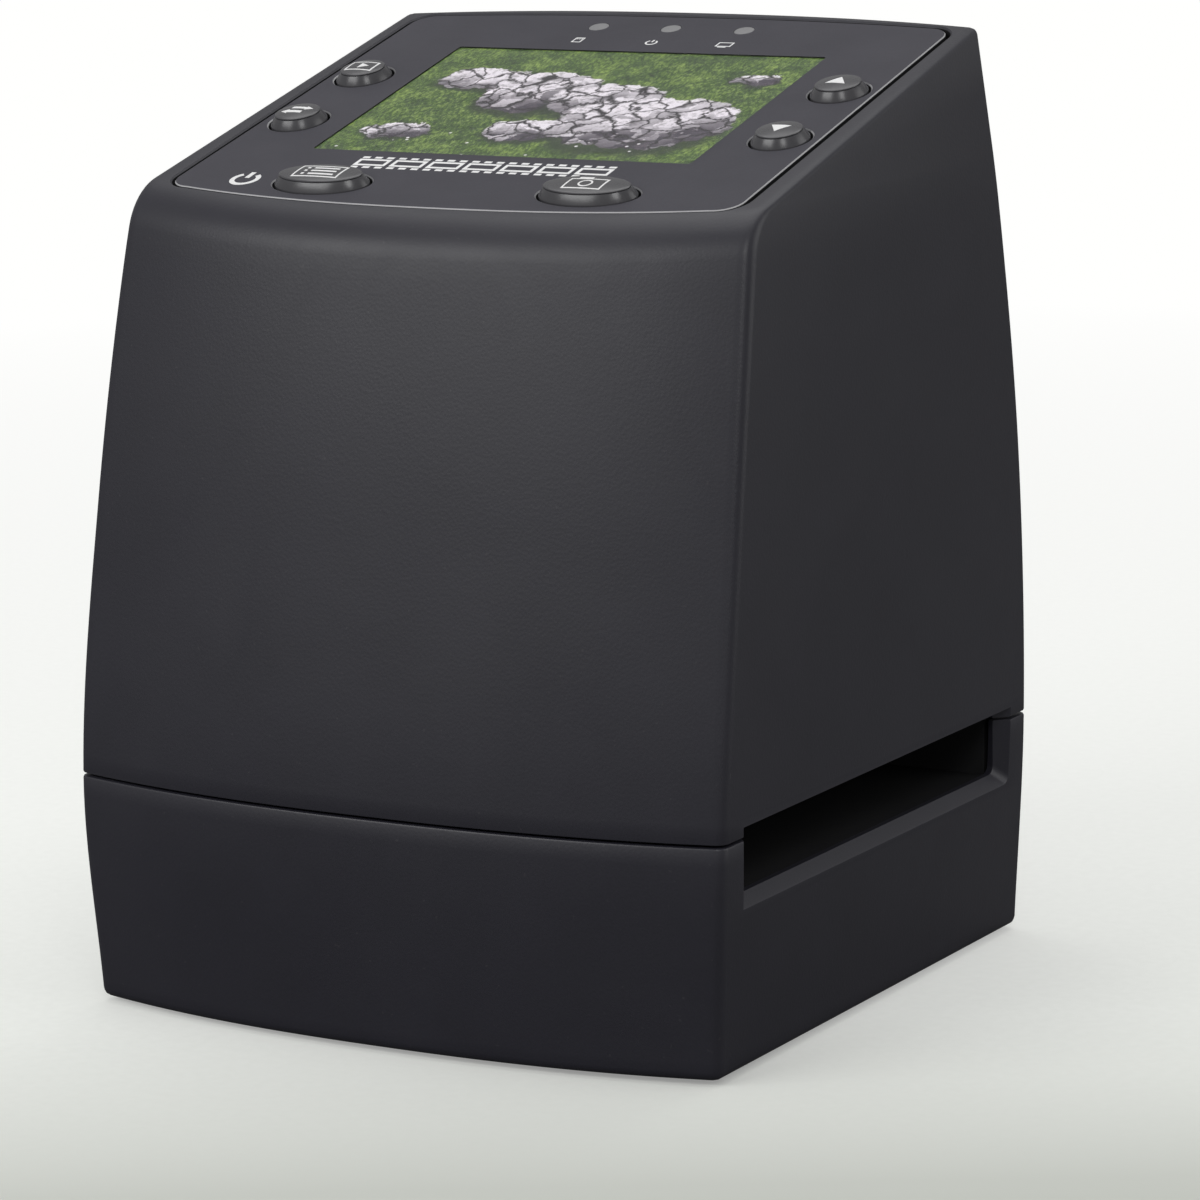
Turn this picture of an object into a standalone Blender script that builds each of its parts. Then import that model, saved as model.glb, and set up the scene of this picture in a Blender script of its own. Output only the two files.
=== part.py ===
"""Film negative scanner: a desktop tower with a slanted control panel and a slot for a film holder.

Frame: +Z up, the front faces -Y, +X is to the right of someone facing the front.
The origin is on the table, under the middle of the casing. All lengths are in metres.
"""

import bpy
import bmesh
from math import cos, pi, radians, sin, tan
from mathutils import Matrix, Vector

# Casing: overall sizes
BODY_WIDTH = 0.0860          # across the sides, at the seam
BODY_DEPTH = 0.0860          # front to back, at the seam
BODY_HEIGHT = 0.1120         # table to the top of the back rim
SEAM_HEIGHT = 0.0276         # table to the joint between the two housings
FOOT_PROUD = 0.0006          # how far the rubber feet stand out of the base
WALL = 0.0022                # housing wall
FLOOR = 0.0022               # base housing floor
EDGE_RADIUS = 0.0011         # outside edges of the casing
SHOULDER_RADIUS = 0.0070     # rounding between the front and the slanted top
SEAM_GAP = 0.0003            # shadow line between the housings
CLEARANCE = 0.0003           # between pieces that seat on each other
OVERRUN = 0.0020             # how far a cutter runs past what it cuts

# Casing: how its outline draws in, as shares of the sizes above. The rows are the
# bottom edge, the seam, two heights between the seam and the top, and the top.
UPPER_HEIGHT_SHARES = (0.384, 0.739, 1.0)
WIDTH_SHARES = (0.968, 1.0, 0.992, 0.965, 0.923)
FRONT_SHARES = (0.984, 1.0, 0.891, 0.749, 0.616)
BACK_SHARES = (1.0, 1.0, 0.986, 0.921, 0.863)
FRONT_BOW = 0.0050           # the middle of the front stands this far ahead of its corners
BACK_BOW = 0.0028            # the same for the back
BOW_POWER = 2.4

# Panel: a plate let into the slanted top. Its places are measured across from the
# middle and down the slope from the casing's back top edge.
PANEL_SLOPE = radians(15.2)
PANEL_THICK = 0.0020
PANEL_GROOVE = 0.00045       # dark line round the plate
PANEL_BACK = 0.0026          # from the casing's back top edge to the plate's back edge
PANEL_RIM_FRONT = 0.0045     # from the plate's front edge to where front and slope would meet
PANEL_RIM_SIDE = 0.0027      # from the plate's back corners to the casing's sides
PANEL_FLARE = 0.0006         # how much each half of the plate widens towards the front
PANEL_CORNER = 0.0030
PANEL_EDGE = 0.00025         # softened top edge
LEDGE_THICK = 0.0018         # shelf of the upper housing under the plate
LEDGE_SIDE_REACH = 0.0022    # how far the shelf reaches in under the plate
LEDGE_BACK_REACH = 0.0020
LEDGE_FRONT_REACH = 0.0014
LEDGE_CORNER = 0.0110

# Screen
DISPLAY_SIDE_ROOM = 0.00055  # from the display to the skirts of the keys beside it
DISPLAY_BACK_ROOM = 0.0056   # from the lamps' row to the display
DISPLAY_FRONT_ROOM = 0.0077  # from the display to the oval keys' row
DISPLAY_SIDE_BORDER = 0.0024 # hidden under the plate
DISPLAY_END_BORDER = 0.0026
WINDOW_THICK = 0.0009
WINDOW_CORNER = 0.0004
PANEL_SKIN = 0.0010          # plate left over the display
DISPLAY_THICK = 0.0035
DISPLAY_CORNER = 0.0006

# Keys: round ones beside the screen, oval ones in front of it
KEY_TRAVEL = 0.0005
KEY_PROUD = 0.0010
KEY_GAP = 0.0003
KEY_TAPER = 0.0005           # how far the flank draws in
KEY_DOME = 0.00012
KEY_FLANGE = 0.0008          # width and thickness of the skirt under the plate
ROUND_KEY_RADIUS = 0.00345
OVAL_KEY_HALF_WIDTH = 0.0062
OVAL_KEY_HALF_LENGTH = 0.00345
ROUND_KEY_INSET = 0.0045     # from the plate's side at its back edge
ROUND_KEY_UP = 0.0063        # up the slope from the screen's middle
ROUND_KEY_DOWN = 0.0090      # down the slope from the screen's middle
OVAL_KEY_INSET = 0.0193
OVAL_KEY_FRONT_INSET = 0.0060

# Key board and its switches
BOARD_THICK = 0.0016
KEY_BOARD_SIDE_INSET = 0.0018    # from the plate's edges to the board's
KEY_BOARD_BACK_INSET = 0.0028
KEY_BOARD_FRONT_INSET = 0.0030
KEY_BOARD_CORNER = 0.0020
SWITCH_SIDE = 0.0052
SWITCH_HEIGHT = 0.0011
SWITCH_CORNER = 0.0008
PLUNGER_RADIUS = 0.0010
PLUNGER_HEIGHT = 0.0006
PLUNGER_DOME = 0.0002
KEY_BOSS_RADIUS = 0.0023
KEY_BOSS_SIDE_INSET = 0.0026     # from the board's edges
KEY_BOSS_BACK_INSET = 0.0020
KEY_BOSS_FRONT_INSET = 0.0028
SMALL_SCREW_RADIUS = 0.00085
SMALL_SCREW_HEAD = 0.0018
SMALL_SCREW_HEAD_THICK = 0.0012
SCREW_ROOM = 0.0003          # between a screw's shank and its hole
CROSS_SLOT_SHARE = 0.62      # of the head's radius
CROSS_DEPTH_SHARE = 0.5      # of the head's thickness
CROSS_WIDTH_SHARE = 0.13     # of the head's radius, half the slot's width

# Lamps
LAMP_RADIUS = 0.00125
LAMP_PITCH = 0.0101
LAMP_INSET = 0.0041          # from the plate's back edge
LAMP_FLANGE_RADIUS = 0.0016
LAMP_FLANGE_THICK = 0.0007
LED_LENGTH = 0.0020
LED_WIDTH = 0.00125
LED_HEIGHT = 0.0006

# Holder slot through both sides
SLOT_FRONT_INSET = 0.0111    # from the middle of the casing's front
SLOT_BACK_INSET = 0.0091     # from the middle of its back
SLOT_OPENING = 0.00805       # height
SLOT_ABOVE_SEAM = 0.00135
SLOT_CHAMFER = 0.00165

# Tongues of the upper housing, behind the base housing's front and back walls
TONGUE_THICK = 0.0008
TONGUE_LENGTH = 0.0015
TONGUE_END_ROOM = 0.0016     # to the screw posts

# Screws that join the housings, in wells from below
SCREW_SIDE_INSET = 0.0130    # from the casing's faces, in their middles
SCREW_FRONT_INSET = 0.0068
SCREW_BACK_INSET = 0.0053
SCREW_RADIUS = 0.00105
SCREW_HEAD_RADIUS = 0.0023
SCREW_HEAD_THICK = 0.0020
SCREW_BITE = 0.0068          # length of shank above the seam
SCREW_SEAT_DROP = 0.0128     # from the seam down to the screw's seat
WELL_RADIUS = 0.0026
WELL_WALL = 0.0009
BOSS_RADIUS = 0.0024
BOSS_HEIGHT = 0.0080         # above the seam

# Feet
FOOT_RADIUS = 0.0045
FOOT_SET_IN = 0.0009         # depth of a foot in its recess
FOOT_EDGE = 0.0003
FOOT_SIDE_INSET = 0.0130
FOOT_END_INSET = 0.0160

# Guide tray: the channel that the holder slides in
INNER_ROOM = 0.0006          # from the side walls to the tray and the tunnel's flange
TRAY_FLOOR = 0.00125
TRAY_DROP = 0.00025          # tray floor under the slot's lower edge
TRAY_RAIL = 0.0012
TRAY_RAIL_ROOM = 0.0006      # from the rails' tops to the slot's top
FILM_WINDOW_WIDTH = 0.0380
FILM_WINDOW_MARGIN = 0.0199  # from the channel's sides
TRAY_RIB = 0.0016
TRAY_RIB_INSET = 0.0034      # from the channel's sides to the ribs under it
TRAY_RIB_END_INSET = 0.0032

# Film gate over the holder
GATE_THICK = 0.0015
GATE_END_INSET = 0.0062      # from the tray's ends
GATE_SIDE_ROOM = 0.0009      # between the gate and the tray's rails
GATE_CORNER = 0.0020
GATE_BEVEL = 0.0008          # round the film window

# Backlight, a stack under the tray's window
REFLECTOR_MARGIN = 0.0040    # past the film window
LIGHT_BOARD_MARGIN = 0.0020  # past the reflector
LIGHT_BOARD_THICK = 0.0014
REFLECTOR_WALL = 0.0014
REFLECTOR_HEIGHT = 0.0076
DIFFUSER_THICK = 0.0015
LIGHT_LED_WIDTH = 0.0035
LIGHT_LED_LENGTH = 0.0028
LIGHT_LED_HEIGHT = 0.0008
LIGHT_BOSS_RADIUS = 0.0020
LIGHT_BOSS_INSET = 0.0040

# Click stop for the holder, in the tray's floor
DETENT_INSET = 0.0079        # from the channel's front side
DETENT_PROUD = 0.0007        # nose above the tray's floor, and its travel
DETENT_NOSE_RADIUS = 0.00105
DETENT_BODY_RADIUS = 0.0016
DETENT_BODY_HEIGHT = 0.0028
DETENT_TUBE_WALL = 0.0011
DETENT_TUBE_LENGTH = 0.0088
DETENT_SKIN = 0.0010
DETENT_POST_RADIUS = 0.0015
SPRING_LENGTH = 0.0056
SPRING_RADIUS = 0.0012
SPRING_WIRE_RADIUS = 0.0002
SPRING_TURNS = 5

# Camera tunnel over the gate, with its lens and sensor
TUNNEL_FLANGE_MARGIN = 0.0005    # past the tunnel's foot
TUNNEL_FLANGE_THICK = 0.0015
TUNNEL_FLANGE_CORNER = 0.0020
TUNNEL_SIDE_MARGIN = 0.0020  # of its foot past the film window
TUNNEL_END_MARGIN = 0.0015
TUNNEL_TOP_SIDE = 0.0200
TUNNEL_ROOM = 0.0201         # from the collar's front edge up to the key board
TUNNEL_WALL = 0.0014
LENS_SEAT_THICK = 0.0020
COLLAR_SIDE = 0.0240
COLLAR_WALL = 0.0015
COLLAR_HEIGHT = 0.0100
TUNNEL_SCREW_INSET = 0.0021
TUNNEL_BOSS_RADIUS = 0.0028
TUNNEL_BOSS_HEIGHT = 0.0080
TUNNEL_SCREW_LENGTH = 0.0055
BARREL_RADIUS = 0.0060
BARREL_HANG = 0.0042         # below the seat's top face
BARREL_FLANGE_RADIUS = 0.0075
BARREL_FLANGE_THICK = 0.0013
BARREL_NECK_RADIUS = 0.0054
BARREL_NECK_HEIGHT = 0.0040
BARREL_BORE = 0.0048
BARREL_STOP_BORE = 0.0034
LENS_RADIUS = 0.0045
LENS_EDGE = 0.0010
LENS_CROWN = 0.0006
LENS_CROWN_SHARES = (1.0, 0.7, 0.4)    # of the lens's radius, where its crown is shaped
SENSOR_BOARD_SIDE = 0.0236
SENSOR_BOARD_THICK = 0.0012
SENSOR_BOARD_CORNER = 0.0020
SENSOR_SIDE = 0.0080
SENSOR_THICK = 0.0010

# Main board, upright beside the left wall, with its sockets at the back
MAIN_BOARD_INSET = 0.0116    # from the casing's side to the face towards the tunnel
MAIN_BOARD_FRONT_INSET = 0.0210
MAIN_BOARD_BACK_INSET = 0.0078
MAIN_BOARD_RISE = 0.00415    # above the tunnel's flange
MAIN_BOARD_ROOM = 0.0053     # from its top edge up to the key board
STAKE_BOSS_RADIUS = 0.0020
STAKE_RADIUS = 0.0009
STAKE_FRONT_INSET = 0.0035
STAKE_END_INSET = 0.0024
STAKE_SOCKET_ROOM = 0.0031   # from the card socket to the back stakes
STAKE_PROUD = 0.0010
SD_WIDTH = 0.0270
SD_DEPTH = 0.0280
SD_THICK = 0.0030
SD_MOUTH_WIDTH = 0.0244
SD_MOUTH_THICK = 0.0022
SD_RISE = 0.0066             # above the main board's lower edge
USB_WIDTH = 0.0077
USB_DEPTH = 0.0092
USB_THICK = 0.0039
USB_SHELL = 0.0004
USB_TONGUE = 0.0012
USB_RISE = 0.0086
JACK_SIDE = 0.0060
JACK_DEPTH = 0.0120
JACK_BORE = 0.0018
JACK_COLLAR_RADIUS = 0.0026
JACK_COLLAR_LENGTH = 0.0008
JACK_RISE = 0.0206
PORT_MARGIN = 0.0006         # round a socket's mouth in the back wall
PORT_CORNER = 0.0005

# Flat cables
RIBBON_THICK = 0.00025
RIBBON_WIDTH = 0.0080
RIBBON_BEND = 0.0030
DISPLAY_RIBBON_RUN = 0.0134  # across, from the main board
DISPLAY_RIBBON_DOWN = 0.0125 # down the slope from the screen's middle
DISPLAY_RIBBON_END = 0.0220  # below the plate's top face
SENSOR_RIBBON_INSET = 0.0048 # from the sensor board's edge
SENSOR_RIBBON_DROP = 0.0110

# How finely round shapes are cut into facets
MEETING_ROUNDS = 12          # steps to where a wall meets the slanted plane
CASING_COLUMNS = 12
CASING_ROWS = 8
SHOULDER_STEPS = 5
HOLLOW_COLUMNS = 8
ROUND_STEPS = 20
SMALL_STEPS = 12
CORNER_STEPS = 3
SMOOTH_ANGLE = radians(35)

HALF_WIDTH = BODY_WIDTH / 2
HALF_DEPTH = BODY_DEPTH / 2

for old in list(bpy.data.objects):
    bpy.data.objects.remove(old)


# Materials
def finish(name, colour, roughness, metallic=0.0, alpha=1.0):
    """A Principled material with a plain colour."""
    made = bpy.data.materials.new(name)
    made.use_nodes = True
    shader = made.node_tree.nodes["Principled BSDF"]
    shader.inputs["Base Color"].default_value = (*colour, 1.0)
    shader.inputs["Roughness"].default_value = roughness
    shader.inputs["Metallic"].default_value = metallic
    shader.inputs["Alpha"].default_value = alpha
    return made


CASING = finish("casing_plastic", (0.035, 0.034, 0.040), 0.55)
PLATE = finish("panel_plastic", (0.081, 0.079, 0.091), 0.45)
KEY = finish("key_plastic", (0.030, 0.030, 0.033), 0.35)
CLEAR = finish("clear_pane", (0.9, 0.95, 0.95), 0.05, alpha=0.3)
LAMP = finish("lamp_window", (0.22, 0.22, 0.22), 0.4)
SCREEN = finish("display_glass", (0.06, 0.16, 0.04), 0.2)
BOARD = finish("circuit_board", (0.02, 0.12, 0.05), 0.5)
INNER = finish("inner_plastic", (0.015, 0.015, 0.016), 0.7)
WHITE = finish("white_plastic", (0.8, 0.8, 0.78), 0.6)
METAL = finish("plated_steel", (0.6, 0.6, 0.62), 0.3, metallic=1.0)
RUBBER = finish("foot_rubber", (0.02, 0.02, 0.02), 0.9)
GLASS = finish("lens_glass", (0.8, 0.9, 0.95), 0.03, alpha=0.4)
RIBBON = finish("ribbon_film", (0.55, 0.30, 0.08), 0.4)


# Shapes: each function returns a list of points and a list of faces
def prism(outline, low, high):
    """Upright prism over a closed outline in X and Y."""
    count = len(outline)
    points = [(x, y, low) for x, y in outline] + [(x, y, high) for x, y in outline]
    faces = [tuple(range(count)), tuple(range(count, 2 * count))]
    for here in range(count):
        after = (here + 1) % count
        faces.append((here, after, after + count, here + count))
    return points, faces


def stack(rings):
    """Solid through closed rings of equal count, each given as an outline and a height."""
    count = len(rings[0][0])
    points = [(x, y, height) for outline, height in rings for x, y in outline]
    faces = [tuple(range(count)), tuple(range(len(points) - count, len(points)))]
    for level in range(len(rings) - 1):
        for here in range(count):
            after = (here + 1) % count
            base = level * count
            faces.append((base + here, base + after, base + after + count, base + here + count))
    return points, faces


def turned(profile, steps):
    """Solid of revolution about Z from a profile of radius and height, ending on the axis."""
    points = []
    rings = []
    for radius, height in profile:
        if radius == 0:
            rings.append([len(points)])
            points.append((0, 0, height))
            continue
        rings.append(list(range(len(points), len(points) + steps)))
        for step in range(steps):
            angle = 2 * pi * step / steps
            points.append((radius * cos(angle), radius * sin(angle), height))
    faces = []
    for lower, upper in zip(rings, rings[1:]):
        for step in range(steps):
            after = (step + 1) % steps
            corners = [lower[step % len(lower)], lower[after % len(lower)]]
            corners += [upper[after % len(upper)], upper[step % len(upper)]]
            face = list(dict.fromkeys(corners))
            if len(face) > 2:
                faces.append(tuple(face))
    return points, faces


def disc(radius, low, high, steps=ROUND_STEPS):
    """Plain upright cylinder."""
    return turned([(0, low), (radius, low), (radius, high), (0, high)], steps)


def rectangle(width, length, corner=0.0, middle=(0, 0)):
    """Outline of a rectangle, with round corners where a corner radius is given."""
    across, along = width / 2 - corner, length / 2 - corner
    outline = []
    for turn, (side, end) in enumerate(((1, 1), (-1, 1), (-1, -1), (1, -1))):
        steps = CORNER_STEPS if corner else 0
        for step in range(steps + 1):
            angle = (turn + (step / steps if steps else 0)) * pi / 2
            x = side * across + corner * cos(angle)
            y = end * along + corner * sin(angle)
            outline.append((middle[0] + x, middle[1] + y))
    return outline


def ellipse(half_width, half_length, steps=ROUND_STEPS):
    """Outline of an ellipse, or of a circle where both halves are equal."""
    angles = [2 * pi * step / steps for step in range(steps)]
    return [(half_width * cos(angle), half_length * sin(angle)) for angle in angles]


def block(low, high):
    """Box between two corners."""
    outline = [(low[0], low[1]), (high[0], low[1]), (high[0], high[1]), (low[0], high[1])]
    return prism(outline, low[2], high[2])


def placed(shape, matrix):
    """Shape moved by a matrix."""
    points, faces = shape
    return [tuple(matrix @ Vector(point)) for point in points], faces


def moved(shape, x=0, y=0, z=0):
    """Shape moved along the axes."""
    return placed(shape, Matrix.Translation((x, y, z)))


def together(*shapes):
    """Several separate shapes as one."""
    points, faces = [], []
    for more_points, more_faces in shapes:
        start = len(points)
        points += more_points
        faces += [tuple(start + index for index in face) for face in more_faces]
    return points, faces


ALONG_X = Matrix.Rotation(pi / 2, 4, "Y")      # turns +Z to +X
ALONG_Y = Matrix.Rotation(-pi / 2, 4, "X")     # turns +Z to +Y


# Objects
def piece(name, shape, material, parent=None, location=(0, 0, 0)):
    """Named object with its mesh, material and place."""
    mesh = bpy.data.meshes.new(name)
    mesh.from_pydata(shape[0], [], shape[1])
    build = bmesh.new()
    build.from_mesh(mesh)
    bmesh.ops.recalc_face_normals(build, faces=build.faces)
    build.to_mesh(mesh)
    build.free()
    mesh.shade_smooth()
    mesh.set_sharp_from_angle(angle=SMOOTH_ANGLE)
    if material:
        mesh.materials.append(material)
    made = bpy.data.objects.new(name, mesh)
    bpy.context.scene.collection.objects.link(made)
    made.parent = parent
    made.location = location
    return made


def tool(name, shape, parent=None):
    """Cutter or added solid that a Boolean reads and the model leaves out."""
    made = piece(name, shape, None, parent)
    made.hide_render = True
    made.display_type = "WIRE"
    return made


def combine(target, other, operation):
    """Boolean of one object with another."""
    step = target.modifiers.new(other.name, "BOOLEAN")
    step.operation = operation
    step.solver = "EXACT"
    step.object = other


def cut(target, other):
    combine(target, other, "DIFFERENCE")


def add(target, other):
    combine(target, other, "UNION")


def soften(target, width, segments=2, angle=radians(40)):
    """Bevel on an object's sharp edges."""
    step = target.modifiers.new("edges", "BEVEL")
    step.width = width
    step.segments = segments
    step.limit_method = "ANGLE"
    step.angle_limit = angle


# Casing surface
ROW_HEIGHTS = [FOOT_PROUD, SEAM_HEIGHT]
ROW_HEIGHTS += [SEAM_HEIGHT + share * (BODY_HEIGHT - SEAM_HEIGHT) for share in UPPER_HEIGHT_SHARES]


def through(values, height):
    """Smooth curve through one value at each row height, read at a height."""
    last = len(ROW_HEIGHTS) - 1
    here = max(index for index in range(last) if index == 0 or ROW_HEIGHTS[index] <= height)
    low, high = ROW_HEIGHTS[here], ROW_HEIGHTS[here + 1]
    span = high - low

    def slope(index):
        before, after = max(index - 1, 0), min(index + 1, last)
        return (values[after] - values[before]) / (ROW_HEIGHTS[after] - ROW_HEIGHTS[before])

    part = (height - low) / span
    if part > 1 or part < 0:
        edge = here + 1 if part > 1 else here
        return values[edge] + slope(edge) * (height - ROW_HEIGHTS[edge])
    start = (1 + 2 * part) * (1 - part) ** 2 * values[here]
    start += part * (1 - part) ** 2 * span * slope(here)
    end = part * part * (3 - 2 * part) * values[here + 1]
    end += part * part * (part - 1) * span * slope(here + 1)
    return start + end


def half_width(height):
    return HALF_WIDTH * through(WIDTH_SHARES, height)


def bow(side_share):
    """How far a bowed face has drawn back at a share of its half width."""
    return abs(side_share) ** BOW_POWER


def front_wall(height, side_share=0.0):
    return -HALF_DEPTH * through(FRONT_SHARES, height) + FRONT_BOW * bow(side_share)


def back_wall(height, side_share=0.0):
    return HALF_DEPTH * through(BACK_SHARES, height) - BACK_BOW * bow(side_share)


# The rim's rounding takes the corner off the back edge, so the slanted plane starts
# a little higher and the finished rim's top is at the body's height.
RIM_RISE = EDGE_RADIUS * (tan(PANEL_SLOPE / 2 + pi / 4) * sin(PANEL_SLOPE) + cos(PANEL_SLOPE) - 1)
TOP_BACK = back_wall(BODY_HEIGHT)
TOP_HEIGHT = BODY_HEIGHT + RIM_RISE


def deck(depth_place, drop):
    """Height of the slanted plane, lowered square to itself by a drop."""
    return TOP_HEIGHT - (TOP_BACK - depth_place) * tan(PANEL_SLOPE) - drop / cos(PANEL_SLOPE)


def meet(wall, side_share, inset, drop):
    """Place where a wall meets the slanted plane, found by stepping between them."""
    depth_place = wall(BODY_HEIGHT, side_share) + inset
    for _ in range(MEETING_ROUNDS):
        depth_place = wall(deck(depth_place, drop), side_share) + inset
    return Vector((depth_place, deck(depth_place, drop)))


def casing_section(side_share, inset, drop, low):
    """Front and back chains of points, from the bottom up, at a share of the half width."""
    edge = meet(front_wall, side_share, inset, drop)
    below = Vector((front_wall(edge.y - SHOULDER_RADIUS, side_share) + inset, edge.y - SHOULDER_RADIUS))
    up = (edge - below).normalized()
    along = Vector((cos(PANEL_SLOPE), sin(PANEL_SLOPE)))
    turn = up.angle(along)
    radius = SHOULDER_RADIUS - inset
    reach = radius * tan(turn / 2)
    centre = edge - up * reach + Vector((up.y, -up.x)) * radius
    outward = Vector((-up.y, up.x))
    start_height = (edge - up * reach).y

    front = []
    for row in range(CASING_ROWS):
        height = low + (start_height - low) * row / CASING_ROWS
        front.append(Vector((front_wall(height, side_share) + inset, height)))
    for step in range(SHOULDER_STEPS + 1):
        angle = -turn * step / SHOULDER_STEPS
        ray = Vector((outward.x * cos(angle) - outward.y * sin(angle),
                      outward.x * sin(angle) + outward.y * cos(angle)))
        front.append(centre + ray * radius)
    back_top = meet(back_wall, side_share, -inset, drop)
    front.append((front[-1] + back_top) / 2)
    back = [Vector((back_wall(point.y, side_share) - inset, point.y)) for point in front]
    front.append(back_top)
    return front, back


def casing(inset, drop, low, columns=CASING_COLUMNS):
    """Closed casing form from a height up to the slanted plane, drawn in by an inset."""
    points, loops = [], []
    for column in range(columns + 1):
        side_share = 2 * column / columns - 1
        front, back = casing_section(side_share, inset, drop, low)
        loop = []
        for point in front + back[::-1]:
            loop.append(len(points))
            points.append((side_share * (half_width(point.y) - inset), point.x, point.y))
        loops.append(loop)
    count = len(loops[0])
    faces = []
    for left, right in zip(loops, loops[1:]):
        for here in range(count):
            after = (here + 1) % count
            faces.append((left[here], left[after], right[after], right[here]))
    for loop in (loops[0], loops[-1]):
        for step in range((count - 1) // 2 - 1):
            faces.append((loop[step], loop[step + 1], loop[count - 2 - step], loop[count - 1 - step]))
        top = (count - 1) // 2
        faces.append((loop[top - 1], loop[top], loop[top + 1]))
    return points, faces


# Plate: its edges down the slope, and its half widths
FRONT_CORNER = meet(front_wall, 0, 0, 0)
PANEL_FRONT = (TOP_BACK - FRONT_CORNER.x) / cos(PANEL_SLOPE) - PANEL_RIM_FRONT
PANEL_BACK_HALF = half_width(BODY_HEIGHT) - PANEL_RIM_SIDE
PANEL_FRONT_HALF = PANEL_BACK_HALF + PANEL_FLARE

# Frame of the slanted panel: X across, Y up the slope, Z out of the plate's face
panel_frame = bpy.data.objects.new("panel_frame", None)
bpy.context.scene.collection.objects.link(panel_frame)
panel_frame.location = (0, TOP_BACK, TOP_HEIGHT)
panel_frame.rotation_euler = (PANEL_SLOPE, 0, 0)

LEDGE_TOP = PANEL_THICK + CLEARANCE            # these run down from the plate's face
LEDGE_UNDER = LEDGE_TOP + LEDGE_THICK
FLANGE_TOP = PANEL_THICK + CLEARANCE
FLANGE_UNDER = FLANGE_TOP + KEY_FLANGE
PLUNGER_TOP = FLANGE_UNDER + CLEARANCE
SWITCH_TOP = PLUNGER_TOP + CLEARANCE
BOARD_TOP = SWITCH_TOP + SWITCH_HEIGHT + CLEARANCE
BOARD_UNDER = BOARD_TOP + BOARD_THICK
DISPLAY_TOP = PANEL_SKIN + CLEARANCE
DISPLAY_UNDER = min(DISPLAY_TOP + DISPLAY_THICK, BOARD_TOP - CLEARANCE)


def panel_outline(margin):
    """Outline of the panel plate, grown by a margin: bowed front and back, round corners."""
    front_middle, back_middle = PANEL_FRONT + margin, PANEL_BACK - margin
    front_half, back_half = PANEL_FRONT_HALF + margin, PANEL_BACK_HALF + margin
    radius = PANEL_CORNER + margin
    reach = front_half - radius

    def front_edge(x):
        return -front_middle + FRONT_BOW * bow(x / HALF_WIDTH)

    def back_edge(x):
        return -back_middle - BACK_BOW * bow(x / HALF_WIDTH)

    outline = []
    for column in range(CASING_COLUMNS + 1):
        x = (2 * column / CASING_COLUMNS - 1) * reach
        outline.append((x, front_edge(x)))
    for step in range(1, CORNER_STEPS + 1):
        angle = pi / 2 * step / CORNER_STEPS
        outline.append((reach + radius * sin(angle), front_edge(reach) + radius * (1 - cos(angle))))
    reach = back_half - radius
    for step in range(CORNER_STEPS):
        angle = pi / 2 * step / CORNER_STEPS
        outline.append((reach + radius * cos(angle), back_edge(reach) - radius * (1 - sin(angle))))
    for column in range(CASING_COLUMNS + 1):
        x = (1 - 2 * column / CASING_COLUMNS) * reach
        outline.append((x, back_edge(x)))
    right_side = outline[CASING_COLUMNS + 1:CASING_COLUMNS + 1 + 2 * CORNER_STEPS]
    outline += [(-x, y) for x, y in reversed(right_side)]
    return outline


# Places on the panel, across from the middle and down the slope
LAMP_ROW = PANEL_BACK + LAMP_INSET
OVAL_KEY_SIDE = PANEL_BACK_HALF - OVAL_KEY_INSET
OVAL_KEY_ROW = PANEL_FRONT - OVAL_KEY_FRONT_INSET
ROUND_KEY_SIDE = PANEL_BACK_HALF - ROUND_KEY_INSET
DISPLAY_BACK = LAMP_ROW + DISPLAY_BACK_ROOM
DISPLAY_FRONT = OVAL_KEY_ROW - DISPLAY_FRONT_ROOM
DISPLAY_LENGTH = DISPLAY_FRONT - DISPLAY_BACK
DISPLAY_WIDTH = 2 * (ROUND_KEY_SIDE - ROUND_KEY_RADIUS - KEY_FLANGE - DISPLAY_SIDE_ROOM)
WINDOW_LENGTH = DISPLAY_LENGTH - 2 * DISPLAY_END_BORDER
WINDOW_WIDTH = DISPLAY_WIDTH - 2 * DISPLAY_SIDE_BORDER
SCREEN_MIDDLE = (DISPLAY_BACK + DISPLAY_FRONT) / 2
ROUND_KEY_UPPER = SCREEN_MIDDLE - ROUND_KEY_UP
ROUND_KEY_LOWER = SCREEN_MIDDLE + ROUND_KEY_DOWN
KEY_BOARD_BACK = PANEL_BACK + KEY_BOARD_BACK_INSET
KEY_BOARD_FRONT = PANEL_FRONT - KEY_BOARD_FRONT_INSET
KEY_BOARD_HALF_WIDTH = PANEL_BACK_HALF - KEY_BOARD_SIDE_INSET
KEY_BOSS_SIDE = KEY_BOARD_HALF_WIDTH - KEY_BOSS_SIDE_INSET
KEY_BOSS_ROWS = (KEY_BOARD_BACK + KEY_BOSS_BACK_INSET, KEY_BOARD_FRONT - KEY_BOSS_FRONT_INSET)
KEYS = {
    "play": (-ROUND_KEY_SIDE, ROUND_KEY_UPPER, False),
    "flip": (-ROUND_KEY_SIDE, ROUND_KEY_LOWER, False),
    "up": (ROUND_KEY_SIDE, ROUND_KEY_UPPER, False),
    "down": (ROUND_KEY_SIDE, ROUND_KEY_LOWER, False),
    "menu": (-OVAL_KEY_SIDE, OVAL_KEY_ROW, True),
    "capture": (OVAL_KEY_SIDE, OVAL_KEY_ROW, True),
}
LAMPS = {"sd": -LAMP_PITCH, "power": 0.0, "pc": LAMP_PITCH}


def key_outline(oval, growth):
    """Outline of a key, grown or drawn in all round."""
    if oval:
        return ellipse(OVAL_KEY_HALF_WIDTH + growth, OVAL_KEY_HALF_LENGTH + growth)
    return ellipse(ROUND_KEY_RADIUS + growth, ROUND_KEY_RADIUS + growth)


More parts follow.
